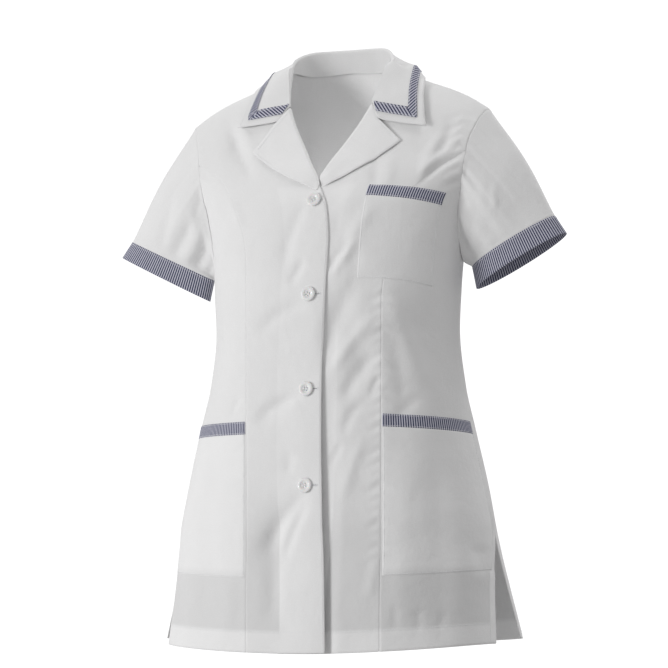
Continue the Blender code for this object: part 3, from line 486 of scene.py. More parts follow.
def weaveBump(tree, across, along):
    slant = maths(tree, "MULTIPLY", maths(tree, "ADD", across, along), 2 * math.pi / weave["rib"])
    ribs = maths(tree, "MULTIPLY", maths(tree, "SINE", slant), weave["ribShare"])
    upright = maths(tree, "MULTIPLY", across, 2 * math.pi / weave["thread"])
    threads = maths(tree, "MULTIPLY", maths(tree, "SINE", upright), weave["threadShare"])
    place = addNode(tree, "ShaderNodeTexCoord").outputs["Object"]
    noise = {"Vector": place, "Scale": weave["crumple"], "Detail": 4.0, "Roughness": 0.55}
    soft = addNode(tree, "ShaderNodeTexNoise", noise).outputs[0]
    crumple = {"Height": soft, "Strength": 1.0, "Distance": weave["crumpleDepth"]}
    fine = {"Height": maths(tree, "ADD", ribs, threads), "Strength": weave["strength"],
            "Distance": weave["depth"], "Normal": addNode(tree, "ShaderNodeBump", crumple).outputs[0]}
    return addNode(tree, "ShaderNodeBump", fine).outputs[0], soft


def clothMaterial(name, stripes=False):
    material, tree, shader = newMaterial(name)
    uv = addNode(tree, "ShaderNodeUVMap").outputs[0]
    parts = addNode(tree, "ShaderNodeSeparateXYZ", {0: uv}).outputs
    normal, soft = weaveBump(tree, parts[0], parts[1])
    if stripes:
        phase = maths(tree, "FRACT", maths(tree, "DIVIDE", parts[0], stripeTone["period"]))
        away = maths(tree, "ABSOLUTE", maths(tree, "SUBTRACT", phase, 0.5))
        dark = mapRange(tree, away, *stripeTone["edge"], 1.0, 0.0)
        colour = mixColour(tree, dark, stripeTone["light"], stripeTone["dark"])
    else:
        # the white is mixed by the per-point tone: painted shade of the hollow behind single cloth
        layersAndShade = addNode(tree, "ShaderNodeAttribute", attribute_name="layersAndShade").outputs["Fac"]
        colour = mixColour(tree, layersAndShade, whiteWithHollowShade["single"], whiteWithHollowShade["double"])
    noise = addNode(tree, "ShaderNodeTexNoise", {"Vector": uv, "Scale": weave["speck"], "Detail": 2.0})
    speck = mapRange(tree, noise.outputs[0], 0.3, 0.7, 0.96, 1.02)
    # painted shade: the white is a little darker where the crumple bump is low and lighter where it is high
    crumpleShade = mapRange(tree, soft, 0.3, 0.7, 0.985, 1.01)
    value = maths(tree, "MULTIPLY", speck, crumpleShade)
    scaled = addNode(tree, "ShaderNodeVectorMath", {0: colour, 1: value}, operation="MULTIPLY")
    tree.links.new(scaled.outputs[0], shader.inputs["Base Color"])
    tree.links.new(normal, shader.inputs["Normal"])
    setSockets(shader, clothFinish)
    return material


# a smooth material with a faint cloudy variation of its colour
cloudScale = 260.0


def plainMaterial(name, colour, noise, sockets):
    material, tree, shader = newMaterial(name)
    place = addNode(tree, "ShaderNodeTexCoord").outputs["Object"]
    cloud = addNode(tree, "ShaderNodeTexNoise", {"Vector": place, "Scale": cloudScale, "Detail": 3.0})
    low = tuple(v * (1 - noise) for v in colour) + (1.0,)
    high = tuple(min(1.0, v * (1 + noise)) for v in colour) + (1.0,)
    tree.links.new(mixColour(tree, cloud.outputs[0], low, high), shader.inputs["Base Color"])
    setSockets(shader, sockets)
    return material


pearlFinish = {"Roughness": 0.28, "Coat Weight": 0.4, "Subsurface Weight": 0.1, "Subsurface Scale": 0.002}
white = clothMaterial("whiteTwill")
striped = clothMaterial("stripedTwill", stripes=True)
thread = plainMaterial("whiteThread", (0.86, 0.865, 0.88), 0.04, {"Roughness": 0.6})
pearl = plainMaterial("pearlButton", (0.80, 0.80, 0.80), 0.06, pearlFinish)
# a dark grey for the buttonholes' cuts: painted shade of the gap under them
slitShade = plainMaterial("buttonholeSlit", (0.30, 0.30, 0.31), 0.04, {"Roughness": 0.9})
print("materials made")


# Meshes
def newPiece(name, points, faces, material):
    mesh = bpy.data.meshes.new(name)
    mesh.from_pydata(points, [], faces)
    mesh.materials.append(material)
    mesh.polygons.foreach_set("use_smooth", [True] * len(mesh.polygons))
    piece = bpy.data.objects.new(name, mesh)
    bpy.context.scene.collection.objects.link(piece)
    return piece


def gridUv(sheet, ring=False, startAcross=None):
    if ring:
        sheet = np.concatenate([sheet, sheet[:, :1]], 1)
    steps = np.linalg.norm(np.diff(sheet, axis=1), axis=2)
    across = np.concatenate([np.zeros((len(sheet), 1)), np.cumsum(steps, 1)], 1)
    if startAcross is not None:
        across = across + startAcross[:, None]
    drops = np.linalg.norm(np.diff(sheet, axis=0), axis=2).mean(1)
    along = np.concatenate([[0.0], np.cumsum(drops)])
    return np.stack([across, np.broadcast_to(along[:, None], across.shape)], -1)


# a thin closed shell from a grid of outer points, with a rounded rim where the cloth ends; the layer value
# is 0 for single and 1 for double cloth and sets the thickness, and the tone, written to the point attribute
# that the white material reads, mixes the darker single and the lighter double white: painted shade of the
# hollow seen through thin cloth
def makeCloth(name, sheet, ways, thick, material, ring=False, uv=None, cornerUv=None, layersAndShade=0.0, shadeTone=None,
              rim=0.5):
    rows, columns = sheet.shape[:2]
    layersAndShade = np.broadcast_to(layersAndShade, (rows, columns))
    shadeTone = layersAndShade if shadeTone is None else np.broadcast_to(shadeTone, (rows, columns))
    depth = thick * (1 + layersAndShade)
    inner = sheet - ways * depth[..., None]
    count = rows * columns
    grid = np.arange(count).reshape(rows, columns)
    wide = np.concatenate([grid, grid[:, :1]], 1) if ring else grid
    uv = gridUv(sheet, ring) if uv is None else uv
    outerFaces = np.stack([wide[:-1, :-1], wide[:-1, 1:], wide[1:, 1:], wide[1:, :-1]], -1).reshape(-1, 4)
    if cornerUv is None:
        outerUv = np.stack([uv[:-1, :-1], uv[:-1, 1:], uv[1:, 1:], uv[1:, :-1]], 2).reshape(-1, 4, 2)
    else:
        outerUv = cornerUv.reshape(-1, 4, 2)
    faces = [outerFaces, outerFaces[:, ::-1] + count]
    uvs = [outerUv, outerUv[:, ::-1]]
    if ring:
        loops = [(grid[0], grid[1]), (grid[-1, ::-1], grid[-2, ::-1])]
    else:
        edge = np.concatenate([grid[0, :-1], grid[:-1, -1], grid[-1, :0:-1], grid[:0:-1, 0]])
        inside = np.concatenate([grid[1, :-1], grid[:-1, -2], grid[-2, :0:-1], grid[:0:-1, 1]])
        loops = [(edge, inside)]
    flat = sheet.reshape(-1, 3)
    flatInner = inner.reshape(-1, 3)
    points = [flat, flatInner]
    levels = [shadeTone.reshape(-1), shadeTone.reshape(-1)]
    base = 2 * count
    flatUv = uv[:, :columns].reshape(-1, 2)
    for edge, inside in loops:
        away = unit(flat[edge] - flat[inside])
        rimPoints = (flat[edge] + flatInner[edge]) / 2 + away * depth.reshape(-1)[edge, None] * rim
        index = base + np.arange(len(edge))
        following = np.roll(index, -1)
        nextEdge = np.roll(edge, -1)
        faces.append(np.stack([nextEdge, edge, index, following], -1))
        faces.append(np.stack([following, index, edge + count, nextEdge + count], -1))
        here = flatUv[edge]
        there = np.roll(here, -1, axis=0)
        uvs += [np.stack([there, here, here, there], 1)] * 2
        points.append(rimPoints)
        levels.append(shadeTone.reshape(-1)[edge])
        base += len(edge)
    points = np.concatenate(points)
    faces = np.concatenate(faces)
    uvs = np.concatenate(uvs)
    a, b, c, d = (points[faces[:, k]] for k in range(4))
    volume = np.sum(a * np.cross(b, c)) + np.sum(a * np.cross(c, d))
    if volume < 0:
        faces = faces[:, ::-1]
        uvs = uvs[:, ::-1]
    piece = newPiece(name, points.tolist(), faces.tolist(), material)
    layer = piece.data.uv_layers.new(name="flat")
    layer.data.foreach_set("uv", uvs.reshape(-1).astype(np.float32))
    attribute = piece.data.attributes.new("layersAndShade", "FLOAT", "POINT")
    attribute.data.foreach_set("value", np.concatenate(levels).astype(np.float32))
    return piece


def sheetWays(sheet, ring=False):
    if ring:
        along = np.roll(sheet, -1, axis=1) - np.roll(sheet, 1, axis=1)
    else:
        along = np.gradient(sheet, axis=1)
    return unit(np.cross(along, np.gradient(sheet, axis=0)))


# Stitches: short rounded threads along a line on the cloth, each sunk in at its ends. Height and
# width are given in half widths of the thread at five places along a stitch.
stitch = dict(length=0.0026, gap=0.0006, width=0.00042, lift=0.00012, sink=0.6,
              places=(0.0, 0.16, 0.5, 0.84, 1.0), heights=(-0.5, 0.75, 1.0, 0.75, -0.5),
              widths=(0.35, 0.9, 1.0, 0.9, 0.35), turns=(0.0, 1.05, 2.09, 3.14, 4.71))
stitchLines = {}


def runLengths(line):
    steps = np.linalg.norm(np.diff(line, axis=0), axis=1)
    return np.concatenate([[0.0], np.cumsum(steps)])


def readLine(places, total, line):
    return np.stack([np.interp(places, total, line[:, k]) for k in range(line.shape[1])], -1)


def addThread(group, spots, outs, size=1.0):
    stitchLines.setdefault(group, []).append((spots, np.broadcast_to(outs, spots.shape), size))


def addStitches(group, line, ways):
    total = runLengths(line)
    number = int(total[-1] / (stitch["length"] + stitch["gap"]))
    pitch = total[-1] / number
    for start in np.arange(number) * pitch:
        places = start + np.array(stitch["places"]) * (pitch - stitch["gap"])
        addThread(group, readLine(places, total, line), unit(readLine(places, total, ways)))


def finishStitches(group):
    points = []
    faces = []
    for spots, outs, size in stitchLines[group]:
        run = unit(spots[-1] - spots[0])
        half = stitch["width"] * size / 2
        base = len(points)
        for spot, out, high, wide in zip(spots, outs, stitch["heights"], stitch["widths"]):
            aside = np.cross(out, run)
            centre = spot + out * (stitch["lift"] + half * (high - stitch["sink"]))
            for turn in stitch["turns"]:
                points.append(centre + (aside * math.cos(turn) + out * math.sin(turn)) * half * wide)
        for ring in range(4):
            for k in range(5):
                here = base + ring * 5 + k
                there = base + ring * 5 + (k + 1) % 5
                faces.append((here, there, there + 5, here + 5))
    return newPiece(group + "Stitches", [tuple(p) for p in points], faces, thread)


def keep(piece, slotName, *nodes):
    if nodes:
        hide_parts(*nodes)
    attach(piece, "root")


# Body panels
# its last two values set how much painted shade single body cloth gets high up and near the hem
bodyCloth = dict(thick=0.0006, gridStep=0.0030, hem=0.024, facing=0.058, vent=0.015,
                 shadeTop=0.25, shadeHem=1.0)


def denseRows(low, high):
    count = max(4, int(round((high - low) / bodyCloth["gridStep"])))
    return np.linspace(low, high, count + 1)


# rows of the grid, closer together towards the shoulder seam
def bodyRows(top):
    rows = np.concatenate([denseRows(hemHeight, -0.100)[:-1], denseRows(-0.100, -0.016)[:-1],
                           np.linspace(-0.016, -0.0035, 8)[:-1], np.linspace(-0.0035, 0.0, 5)])
    return rows[rows <= top + 1e-9]


# 1 where the cloth is double: hem, facing and the turned edges of the vents
def bodyLayers(side, hand, angle, height, owner):
    point = body(side, angle, height)
    double = smooth(hemHeight + bodyCloth["hem"] + 0.0006, hemHeight + bodyCloth["hem"] - 0.0006, height)
    if owner:
        reach = point[..., 0] * hand + edgeReach(height)
        facing = smooth(bodyCloth["facing"] + 0.001, bodyCloth["facing"] - 0.001, reach)
        double = np.maximum(double, facing * smooth(-0.150, -0.160, height))
    fromSide = (math.pi / 2 - np.abs(angle)) * section("depthFront", height)
    vent = smooth(bodyCloth["vent"] + 0.001, bodyCloth["vent"] - 0.001, fromSide)
    return np.maximum(double, vent * smooth(ventTop + 0.006, ventTop - 0.001, height))


# painted shade: single cloth gets a darker white than double, for the shaded hollow behind it, most of all
# near the open hem
def bodyShadeTone(layersAndShade, height):
    hollowShade = bodyCloth["shadeTop"] + (bodyCloth["shadeHem"] - bodyCloth["shadeTop"]) * smooth(-0.50, -0.62, height)
    return 1.0 - hollowShade * (1.0 - layersAndShade)


def bodyPanel(name, node, hand, rows, limits, owner):
    start, end = limits(hand, rows)
    width = ((end - start) * section("halfFront", rows)).max()
    columns = max(6, int(width / bodyCloth["gridStep"]))
    share = np.linspace(0.0, 1.0, columns + 1)[None, :]
    angle = hand * (start[:, None] * (1 - share) + end[:, None] * share)
    height = np.broadcast_to(rows[:, None], angle.shape)
    sheet, ways = clothPoint(-1, angle, height, 0.0, owner)
    layersAndShade = bodyLayers(-1, hand, angle, height, owner)
    uv = gridUv(sheet, startAcross=start * section("halfFront", rows))
    keep(makeCloth(name, sheet, ways, bodyCloth["thick"], white, uv=uv, layersAndShade=layersAndShade,
                   shadeTone=bodyShadeTone(layersAndShade, height)), "white_cloth", node)


for word, hand in bothHands:
    node = word.lower()
    bodyPanel("front" + word, "front_" + node, hand, bodyRows(0.0), frontLimits, node)
    sideRows = np.append(bodyRows(-0.1085), np.linspace(-0.1075, -0.1014, 5))
    bodyPanel("sideFront" + word, "side_front_" + node, hand, sideRows, sideLimits, "")

# Back: one piece; its middle columns stop at the neck seam
neckShare = math.asin(neckPoint / section("halfBack", 0.0)) / armholeAngle(0.0)


def makeBack():
    side = np.linspace(neckShare, 1, 36)
    neck = neckShare * np.sin(np.linspace(-math.pi / 2, math.pi / 2, 49))
    share = np.concatenate([-side[::-1][:-1], neck, side[1:]])[None, :]
    rows = bodyRows(0.0)
    dip = backNeckDrop * np.clip(1 - (share / neckShare) ** 2, 0, 1)
    height = rows[:, None] - dip * np.clip((rows[:, None] + 0.125) / 0.125, 0, 1)
    reach = armholeAngle(np.maximum(height, underarm)) - gapAngle(height)
    angle = share * reach
    sheet, ways = clothPoint(1, angle, height)
    sheet[-1, :, 1] += seamGap
    layersAndShade = bodyLayers(1, 1, angle, height, "")
    keep(makeCloth("backPanel", sheet, ways, bodyCloth["thick"], white, layersAndShade=layersAndShade,
                   shadeTone=bodyShadeTone(layersAndShade, height)), "white_cloth", "back")


makeBack()
print("body panels made")


# Sleeves and cuffs
cuffColumns = ("x", "y", "z", "halfWidth", "halfDepth", "slope", "yaw")
cuffSeam = {-1: (0.2268, 0.0080, -0.2286, 0.0612, 0.0215, 25.8, -4.0),
            1: (0.2263, 0.0080, -0.2245, 0.0612, 0.0215, 28.0, -4.0)}
cuffEdge = {-1: (0.2366, 0.0080, -0.2515, 0.0665, 0.0225, 27.0, -4.0),
            1: (0.2360, 0.0080, -0.2485, 0.0665, 0.0225, 28.2, -4.0)}
# the sleeves' tone sets how much painted shade of the hollow their single cloth shows
sleeveCloth = dict(thick=0.0006, bulge=0.005, bulgePower=1.5, overlap=0.0007, sink=0.0003, rounds=150,
                   levels=52, shadeTone=0.75, cuffThick=0.0008, cuffLevels=14, cuffRise=0.0003, cuffRim=0.6)

# Folds of the sleeves: turn from the outer edge over the front in degrees, level from armhole to cuff
sleeveFoldColumns = ("turnFrom", "levelFrom", "turnTo", "levelTo", "width", "rise")
sleeveFolds = {
    -1: ((97.0, 0.42, 95.0, 0.92, 8.0, -0.0040), (64.0, 0.48, 74.0, 0.90, 8.0, -0.0016),
         (128.0, 0.36, 129.0, 0.97, 10.0, -0.0052), (150.0, 0.30, 152.0, 0.98, 18.0, -0.0060),
         (111.0, 0.36, 111.0, 0.90, 7.0, 0.0016),
         (90.0, -0.05, 98.0, 0.30, 9.0, -0.0014), (48.0, 0.10, 56.0, 0.60, 11.0, -0.0008),
         (250.0, 0.10, 236.0, 0.80, 10.0, -0.0028), (275.0, 0.20, 268.0, 0.90, 9.0, -0.0018),
         (222.0, 0.10, 216.0, 0.70, 8.0, 0.0014), (310.0, 0.05, 300.0, 0.50, 12.0, -0.0010)),
    1: ((146.0, 0.10, 138.0, 0.62, 9.0, -0.0034), (143.0, 0.40, 140.0, 0.95, 7.0, -0.0024),
        (124.0, 0.02, 118.0, 0.50, 8.0, 0.0016), (69.0, 0.45, 79.0, 0.62, 6.0, 0.0014),
        (104.0, 0.35, 94.0, 0.80, 8.0, -0.0016), (80.0, -0.05, 84.0, 0.35, 8.0, -0.0014),
        (112.0, 0.55, 106.0, 0.95, 7.0, 0.0010), (248.0, 0.10, 238.0, 0.82, 10.0, -0.0028),
        (280.0, 0.15, 270.0, 0.90, 9.0, -0.0016), (220.0, 0.10, 214.0, 0.72, 8.0, 0.0014),
        (312.0, 0.05, 304.0, 0.55, 12.0, -0.0010)),
}


def cuffRing(row, turn, hand):
    cuff = dict(zip(cuffColumns, row))
    slope = math.radians(cuff["slope"])
    yaw = math.radians(cuff["yaw"])
    wide = cuff["halfWidth"] * np.cos(turn)
    deep = -cuff["halfDepth"] * np.sin(turn)
    flat = wide * math.cos(slope)
    over = flat * math.cos(yaw) - deep * math.sin(yaw)
    back = flat * math.sin(yaw) + deep * math.cos(yaw)
    return np.stack([hand * (cuff["x"] + over), cuff["y"] + back, cuff["z"] + wide * math.sin(slope)], -1)


def armholeRing(hand):
    down = np.concatenate([np.linspace(0.0, -0.010, 9), denseRows(underarm, -0.010)[::-1][1:]])
    up = down[::-1][1:-1]
    frontPoints, frontWays = clothPoint(-1, hand * armholeAngle(down), down)
    backPoints, backWays = clothPoint(1, hand * armholeAngle(up), up)
    return (np.concatenate([frontPoints, backPoints]), np.concatenate([frontWays, backWays]),
            np.concatenate([down, up]))


# the ring again at even steps, with the values that go with its points
def evenRing(ring, count, extras):
    closed = [np.concatenate([line, line[:1]]) for line in (ring, *extras)]
    total = runLengths(closed[0])
    places = np.linspace(0.0, total[-1], count + 1)[:-1]
    return [readLine(places, total, line) for line in closed]


def sleeveFold(hand, turn, level):
    total = np.zeros(np.broadcast(turn, level).shape)
    degrees = np.degrees(turn) % 360.0
    for row in sleeveFolds[hand]:
        fold = dict(zip(sleeveFoldColumns, row))
        along = (level - fold["levelFrom"]) / (fold["levelTo"] - fold["levelFrom"])
        middle = fold["turnFrom"] + (fold["turnTo"] - fold["turnFrom"]) * along
        peak = fold["rise"] * creaseFade(along, 0.3, 0.7)
        total = total + peak * np.exp(-((degrees - middle) / fold["width"]) ** 2)
    return total


def makeSleeve(word, hand):
    ring, ways, heights = armholeRing(hand)
    tangent = unit(np.roll(ring, -1, axis=0) - np.roll(ring, 1, axis=0))
    inward = unit(np.cross(ways, tangent))
    inward = inward * np.sign(np.sum(inward * (ring.mean(axis=0) - ring), axis=1))[:, None]
    low = smooth(-0.10, -0.19, heights)[:, None]
    # the left sleeve's head is sunk a little, the right one laps over the panel near the underarm
    lift = sleeveCloth["overlap"] * low if hand < 0 else -sleeveCloth["sink"]
    first = ring + inward * seamGap + ways * lift
    first, ways, low = evenRing(first, sleeveCloth["rounds"], (ways, low))
    ways = unit(ways)
    lengths = np.linalg.norm(np.roll(first, -1, axis=0) - first, axis=1)
    turn = 2 * math.pi * np.concatenate([[0], np.cumsum(lengths)[:-1]]) / lengths.sum()
    seam = cuffRing(cuffSeam[hand], turn, hand)
    levels = np.linspace(0.0, 1.0, sleeveCloth["levels"])
    axisWay = unit(seam - seam.mean(axis=0))
    rows = []
    for level in levels:
        bulge = axisWay * sleeveCloth["bulge"] * math.sin(math.pi * level) ** sleeveCloth["bulgePower"]
        rows.append(first * (1 - level) + seam * level + bulge)
    sheet = np.array(rows)
    own = sheetWays(sheet, ring=True)
    if np.sum(own * (sheet - sheet.mean(axis=1, keepdims=True)), axis=-1).mean() < 0:
        own = -own
    cover = smooth(0.0, 0.10, levels)[:, None, None]
    own = unit(own * cover + (ways * (1 - low) + own * low)[None, 0] * (1 - cover))
    fold = sleeveFold(hand, turn[None, :], levels[:, None])
    fold = fold * smooth(0.0, 0.08, levels)[:, None] * smooth(1.0, 0.90, levels)[:, None]
    sheet = sheet + own * fold[..., None]
    keep(makeCloth("sleeve" + word, sheet, own, sleeveCloth["thick"], white, ring=True,
                   shadeTone=sleeveCloth["shadeTone"]), "white_cloth", "sleeve_" + word.lower())
    end = own[-1]
    top = seam + unit(seam - rows[-2]) * seamGap + end * sleeveCloth["cuffRise"]
    edge = cuffRing(cuffEdge[hand], turn, hand)
    shares = np.linspace(0.0, 1.0, sleeveCloth["cuffLevels"])[:, None, None]
    cuff = top[None] * (1 - shares) + edge[None] * shares
    uv = gridUv(np.broadcast_to(cuff[len(cuff) // 2], cuff.shape), ring=True)
    uv[..., 1] = shares[..., 0] * np.linalg.norm(edge - top, axis=1).mean()
    keep(makeCloth("cuff" + word, cuff, np.broadcast_to(end, cuff.shape), sleeveCloth["cuffThick"], striped,
                   ring=True, uv=uv, rim=sleeveCloth["cuffRim"]), "striped_cloth", "cuff_" + word.lower())
    addStitches("cuffs", np.concatenate([cuff[1], cuff[1][:1]]), np.concatenate([end, end[:1]]))


for word, hand in bothHands:
    makeSleeve(word, hand)
print("sleeves made")

# Collar, with the stations of the solids
collarColumns = ("neckSide", "place", "foldX", "foldY", "foldZ", "edgeX", "edgeY", "edgeZ",
                 "riseRight", "riseLeft", "drawRight", "drawLeft")
collarTable = np.array([
    (1, 0.000, 0.0000, 0.0560, 0.0375, 0.0000, 0.0730, -0.0180, 0.000, 0.0000, 0.000, 0.000),
    (1, 0.420, 0.0225, 0.0540, 0.0370, 0.0330, 0.0710, -0.0180, 0.000, 0.0000, 0.000, 0.000),
    (1, 0.720, 0.0420, 0.0465, 0.0345, 0.0650, 0.0660, -0.0180, 0.001, 0.0000, 0.000, 0.000),
    (1, 0.930, 0.0560, 0.0340, 0.0260, 0.0930, 0.0500, -0.0150, 0.004, 0.0000, 0.003, 0.000),
    (-1, -0.002, 0.0635, 0.0180, 0.0110, 0.1100, 0.0180, -0.0100, 0.007, 0.0000, 0.007, 0.000),
    (-1, -0.012, 0.0615, 0.0010, -0.0080, 0.1150, -0.0060, -0.0280, 0.006, -0.0045, 0.006, 0.000),
    (-1, -0.029, 0.0580, -0.0130, -0.0270, 0.1190, -0.0160, -0.0520, 0.003, -0.0030, 0.002, 0.000),
    (-1, -0.043, 0.0543, -0.0250, -0.0445, 0.1240, -0.0240, -0.0760, 0.000, 0.0000, 0.000, 0.000),
])
frontStation = 5
collarTip = {-1: (0.1215, -0.0700), 1: (0.1265, -0.0825)}
notchPoint = {-1: (0.0705, -0.0652), 1: (0.0678, -0.0695)}
collarCloth = dict(thick=0.0007, inset=0.0036, lift=0.0039, along=241, across=97, edgeStitch=0.0020,
                   fallShadeTone=0.65, endStitch=0.985, endFrom=3.2)
# how far the fall stands off the front and bows out, and its round fold: along the fall, then a push
collarFall = dict(edgeRest=0.0034, tipRise=0.0030, middleRest=0.0056, middleDrop=0.0018,
                  frontShoulder=(0.0055, (0.0, -0.0016, 0.3 * 0.0016)),
                  frontCrown=(0.0016, (0.0, -0.0020, 0.4 * 0.0020)),
                  backShoulder=(0.0068, (0.0, 0.0, -0.0012)), backCrown=(0.0034, (0.0, 0.0, 0.0030)),
                  bellyOut=0.004, bellyUp=0.006)


def neckSeam(neckSide, place):
    if neckSide > 0:
        height = -backNeckDrop * (1 - place**2)
        angle = place * neckShare * armholeAngle(0.0)
        point = clothPoint(1, np.array(angle), np.array(height))[0]
    else:
        inner = frontLimits(1, np.array([place]))[0]
        point = clothPoint(-1, inner[0], np.array(place))[0]
    toward = unit(np.array((-point[0], 0.010 - point[1], 0.0)))
    return point + toward * collarCloth["inset"]


def offFold(fold, toward, along, push):
    return fold + toward * along + np.array(push)


def collarControls(hand):
    stations = []
    word = "Right" if hand < 0 else "Left"
    for index, row in enumerate(collarTable):
        line = dict(zip(collarColumns, row))
        seam = neckSeam(line["neckSide"], line["place"])
        fold = np.array((line["foldX"], line["foldY"], line["foldZ"] + line["rise" + word]))
        edge = np.array((line["edgeX"] - line["draw" + word], line["edgeY"], line["edgeZ"]))
        if index >= frontStation:
            share = (index - frontStation + 1) / (len(collarTable) - frontStation)
            place = np.array((edge[0], edge[2])) * (1 - share) + np.array(collarTip[hand]) * share
            edge = onFront(place[0], place[1], collarFall["edgeRest"] + collarFall["tipRise"] * share)
            straight = (np.array((fold[0], fold[2])) + place) / 2
            bent = straight * (1 - share**3) + np.array(notchPoint[hand]) * share**3
            middle = onFront(bent[0], bent[1], collarFall["middleRest"] - collarFall["middleDrop"] * share)
            toward = unit(middle - fold)
            shoulder = offFold(fold, toward, *collarFall["frontShoulder"])
            crown = offFold(fold, toward, *collarFall["frontCrown"])
        else:
            away = unit((edge - fold) * (1.0, 1.0, 0.0))
            middle = (fold + away * collarFall["backShoulder"][0] + edge) / 2
            middle = middle + np.array((0.0, 0.0, collarFall["bellyUp"])) + away * collarFall["bellyOut"]
            shoulder = offFold(fold, away, *collarFall["backShoulder"])
            crown = offFold(fold, away, *collarFall["backCrown"])
        points = np.array([seam, (seam + fold) / 2, fold, crown, shoulder, middle, edge])
        points[:, 0] *= hand
        stations.append(points)
    return np.array(stations)


# smooth surface through a coarse grid, at new places along and across
def resample(alongPlaces, acrossPlaces, grid, along, across):
    columns = range(grid.shape[1])
    half = np.stack([np.stack([curve(alongPlaces, grid[:, k, axis], along) for k in columns], -1)
                     for axis in range(3)], -1)
    return np.stack([np.stack([curve(acrossPlaces, row[:, axis], across) for axis in range(3)], -1)
                     for row in half])


underHeight = -0.13 * np.linspace(1.0, 0.0, 60)[:, None] ** 2
underAngle = np.radians(np.linspace(-60.0, 60.0, 121))[None, :]
underHeight, underAngle = np.broadcast_arrays(underHeight, underAngle)
underPoints = np.concatenate([body(side, underAngle, underHeight).reshape(-1, 3) for side in (-1, 1)])
underWays = np.concatenate([outward(side, underAngle, underHeight).reshape(-1, 3) for side in (-1, 1)])


def liftClear(sheet, clear):
    flat = sheet.reshape(-1, 3).copy()
    for _ in range(3):
        for i, point in enumerate(flat):
            nearest = np.argmin(np.sum((underPoints - point) ** 2, axis=1))
            height = np.dot(point - underPoints[nearest], underWays[nearest])
            if height < clear:
                flat[i] = point + underWays[nearest] * (clear - height)
    return flat.reshape(sheet.shape)


controls = np.concatenate([collarControls(-1)[::-1], collarControls(1)[1:]])
halfAlong = np.concatenate([np.linspace(0.0, 0.5, 7)[:-1], np.linspace(0.5, 0.85, 9),
                            np.linspace(0.85, 1.0, 4)[1:]])
coarseAlong = np.concatenate([-halfAlong[:0:-1], halfAlong])
coarseAcross = np.array([0.0, 0.5, 1.0, 1.6, 2.0, 2.5, 3.0, 3.5, 4.0, 4.5, 5.0, 5.5, 6.0])
coarse = resample(np.linspace(-1.0, 1.0, len(controls)), np.arange(7), controls, coarseAlong, coarseAcross)
coarse[:, 5:] = liftClear(coarse[:, 5:], collarCloth["lift"])
fineAlong = np.linspace(-1.0, 1.0, collarCloth["along"])
fineAcross = np.linspace(0.0, 6.0, collarCloth["across"])
collarSheet = resample(coarseAlong, coarseAcross, coarse, fineAlong, fineAcross)
collarWays = sheetWays(collarSheet)
if collarWays[len(fineAlong) // 2, -1, 1] < 0:
    collarWays = -collarWays
# painted shade: the stand, which lies in shade, gets the darker single white, and the fall a tone short of
# double
collarShadeTone = collarCloth["fallShadeTone"] * smooth(1.5, 2.6, fineAcross)[None, :]
keep(makeCloth("collarFold", collarSheet, collarWays, collarCloth["thick"], white, layersAndShade=1.0,
               shadeTone=collarShadeTone), "white_cloth", "collar")


def collarAt(station, across):
    station, across = np.broadcast_arrays(np.asarray(station, float), np.asarray(across, float))
    i = np.clip(np.searchsorted(fineAlong, station) - 1, 0, len(fineAlong) - 2)
    j = np.clip(np.searchsorted(fineAcross, across) - 1, 0, len(fineAcross) - 2)
    s = (station - fineAlong[i]) / (fineAlong[i + 1] - fineAlong[i])
    t = (across - fineAcross[j]) / (fineAcross[j + 1] - fineAcross[j])
    point = 0.0
    way = 0.0
    for di, ws in ((0, 1 - s), (1, s)):
        for dj, wt in ((0, 1 - t), (1, t)):
            weight = (ws * wt)[..., None]
            point = point + collarSheet[i + di, j + dj] * weight
            way = way + collarWays[i + di, j + dj] * weight
    return point, unit(way)


def collarPlace(hand, x, z):
    stations = np.linspace(0.55, 1.0, 271)[:, None] * hand
    acrosses = np.linspace(2.4, 6.0, 289)[None, :]
    points = collarAt(stations, acrosses)[0]
    miss = (points[..., 0] - x * hand) ** 2 + (points[..., 2] - z) ** 2
    i, j = np.unravel_index(np.argmin(miss), miss.shape)
    return stations[i, 0], acrosses[0, j]


def fallShare(station, distance):
    size = np.linalg.norm(collarAt(station, 6.0)[0] - collarAt(station, 4.5)[0]) / 1.5
    return 6.0 - distance / size


# Tape: straight on both legs, mitred at the corners, its stripes slanting as on a bias-cut tape
tape = dict(near=0.0095, far=0.0215, corner=1.45, cornerGap=0.003, nearStart=0.0012, farStart=0.0040,
            rest=0.0006, thick=0.0004, leg=8, stations=61, finer=3, across=9, gorge=(0.0543, -0.0450),
            stripeShare=0.88)


def tapeEnd(hand, distance):
    notch = np.array(notchPoint[hand])
    tip = np.array(collarTip[hand])
    run = unit(tip - notch)
    aside = np.array((-run[1], run[0]))
    aside = aside * np.sign(aside[1])
    gorge = np.array(tape["gorge"])
    seam = notch - gorge
    origin = notch + aside * distance
    reach = np.linalg.solve(np.stack([run, -seam], 1), gorge - origin)
    first = origin + run * (reach[0] + (tape["nearStart"] if distance < tape["far"] else tape["farStart"]))
    last = tip + aside * distance - run * distance * tape["corner"]
    places = []
    for share in np.linspace(0.0, 1.0, tape["leg"] + 1):
        spot = first * (1 - share) + last * share
        places.append(collarPlace(hand, spot[0], spot[1]))
    return places


def evenPlaces(places):
    steps = np.arange(len(places))
    return readLine(np.linspace(0, steps[-1], tape["finer"] * steps[-1] + 1), steps, np.array(places))


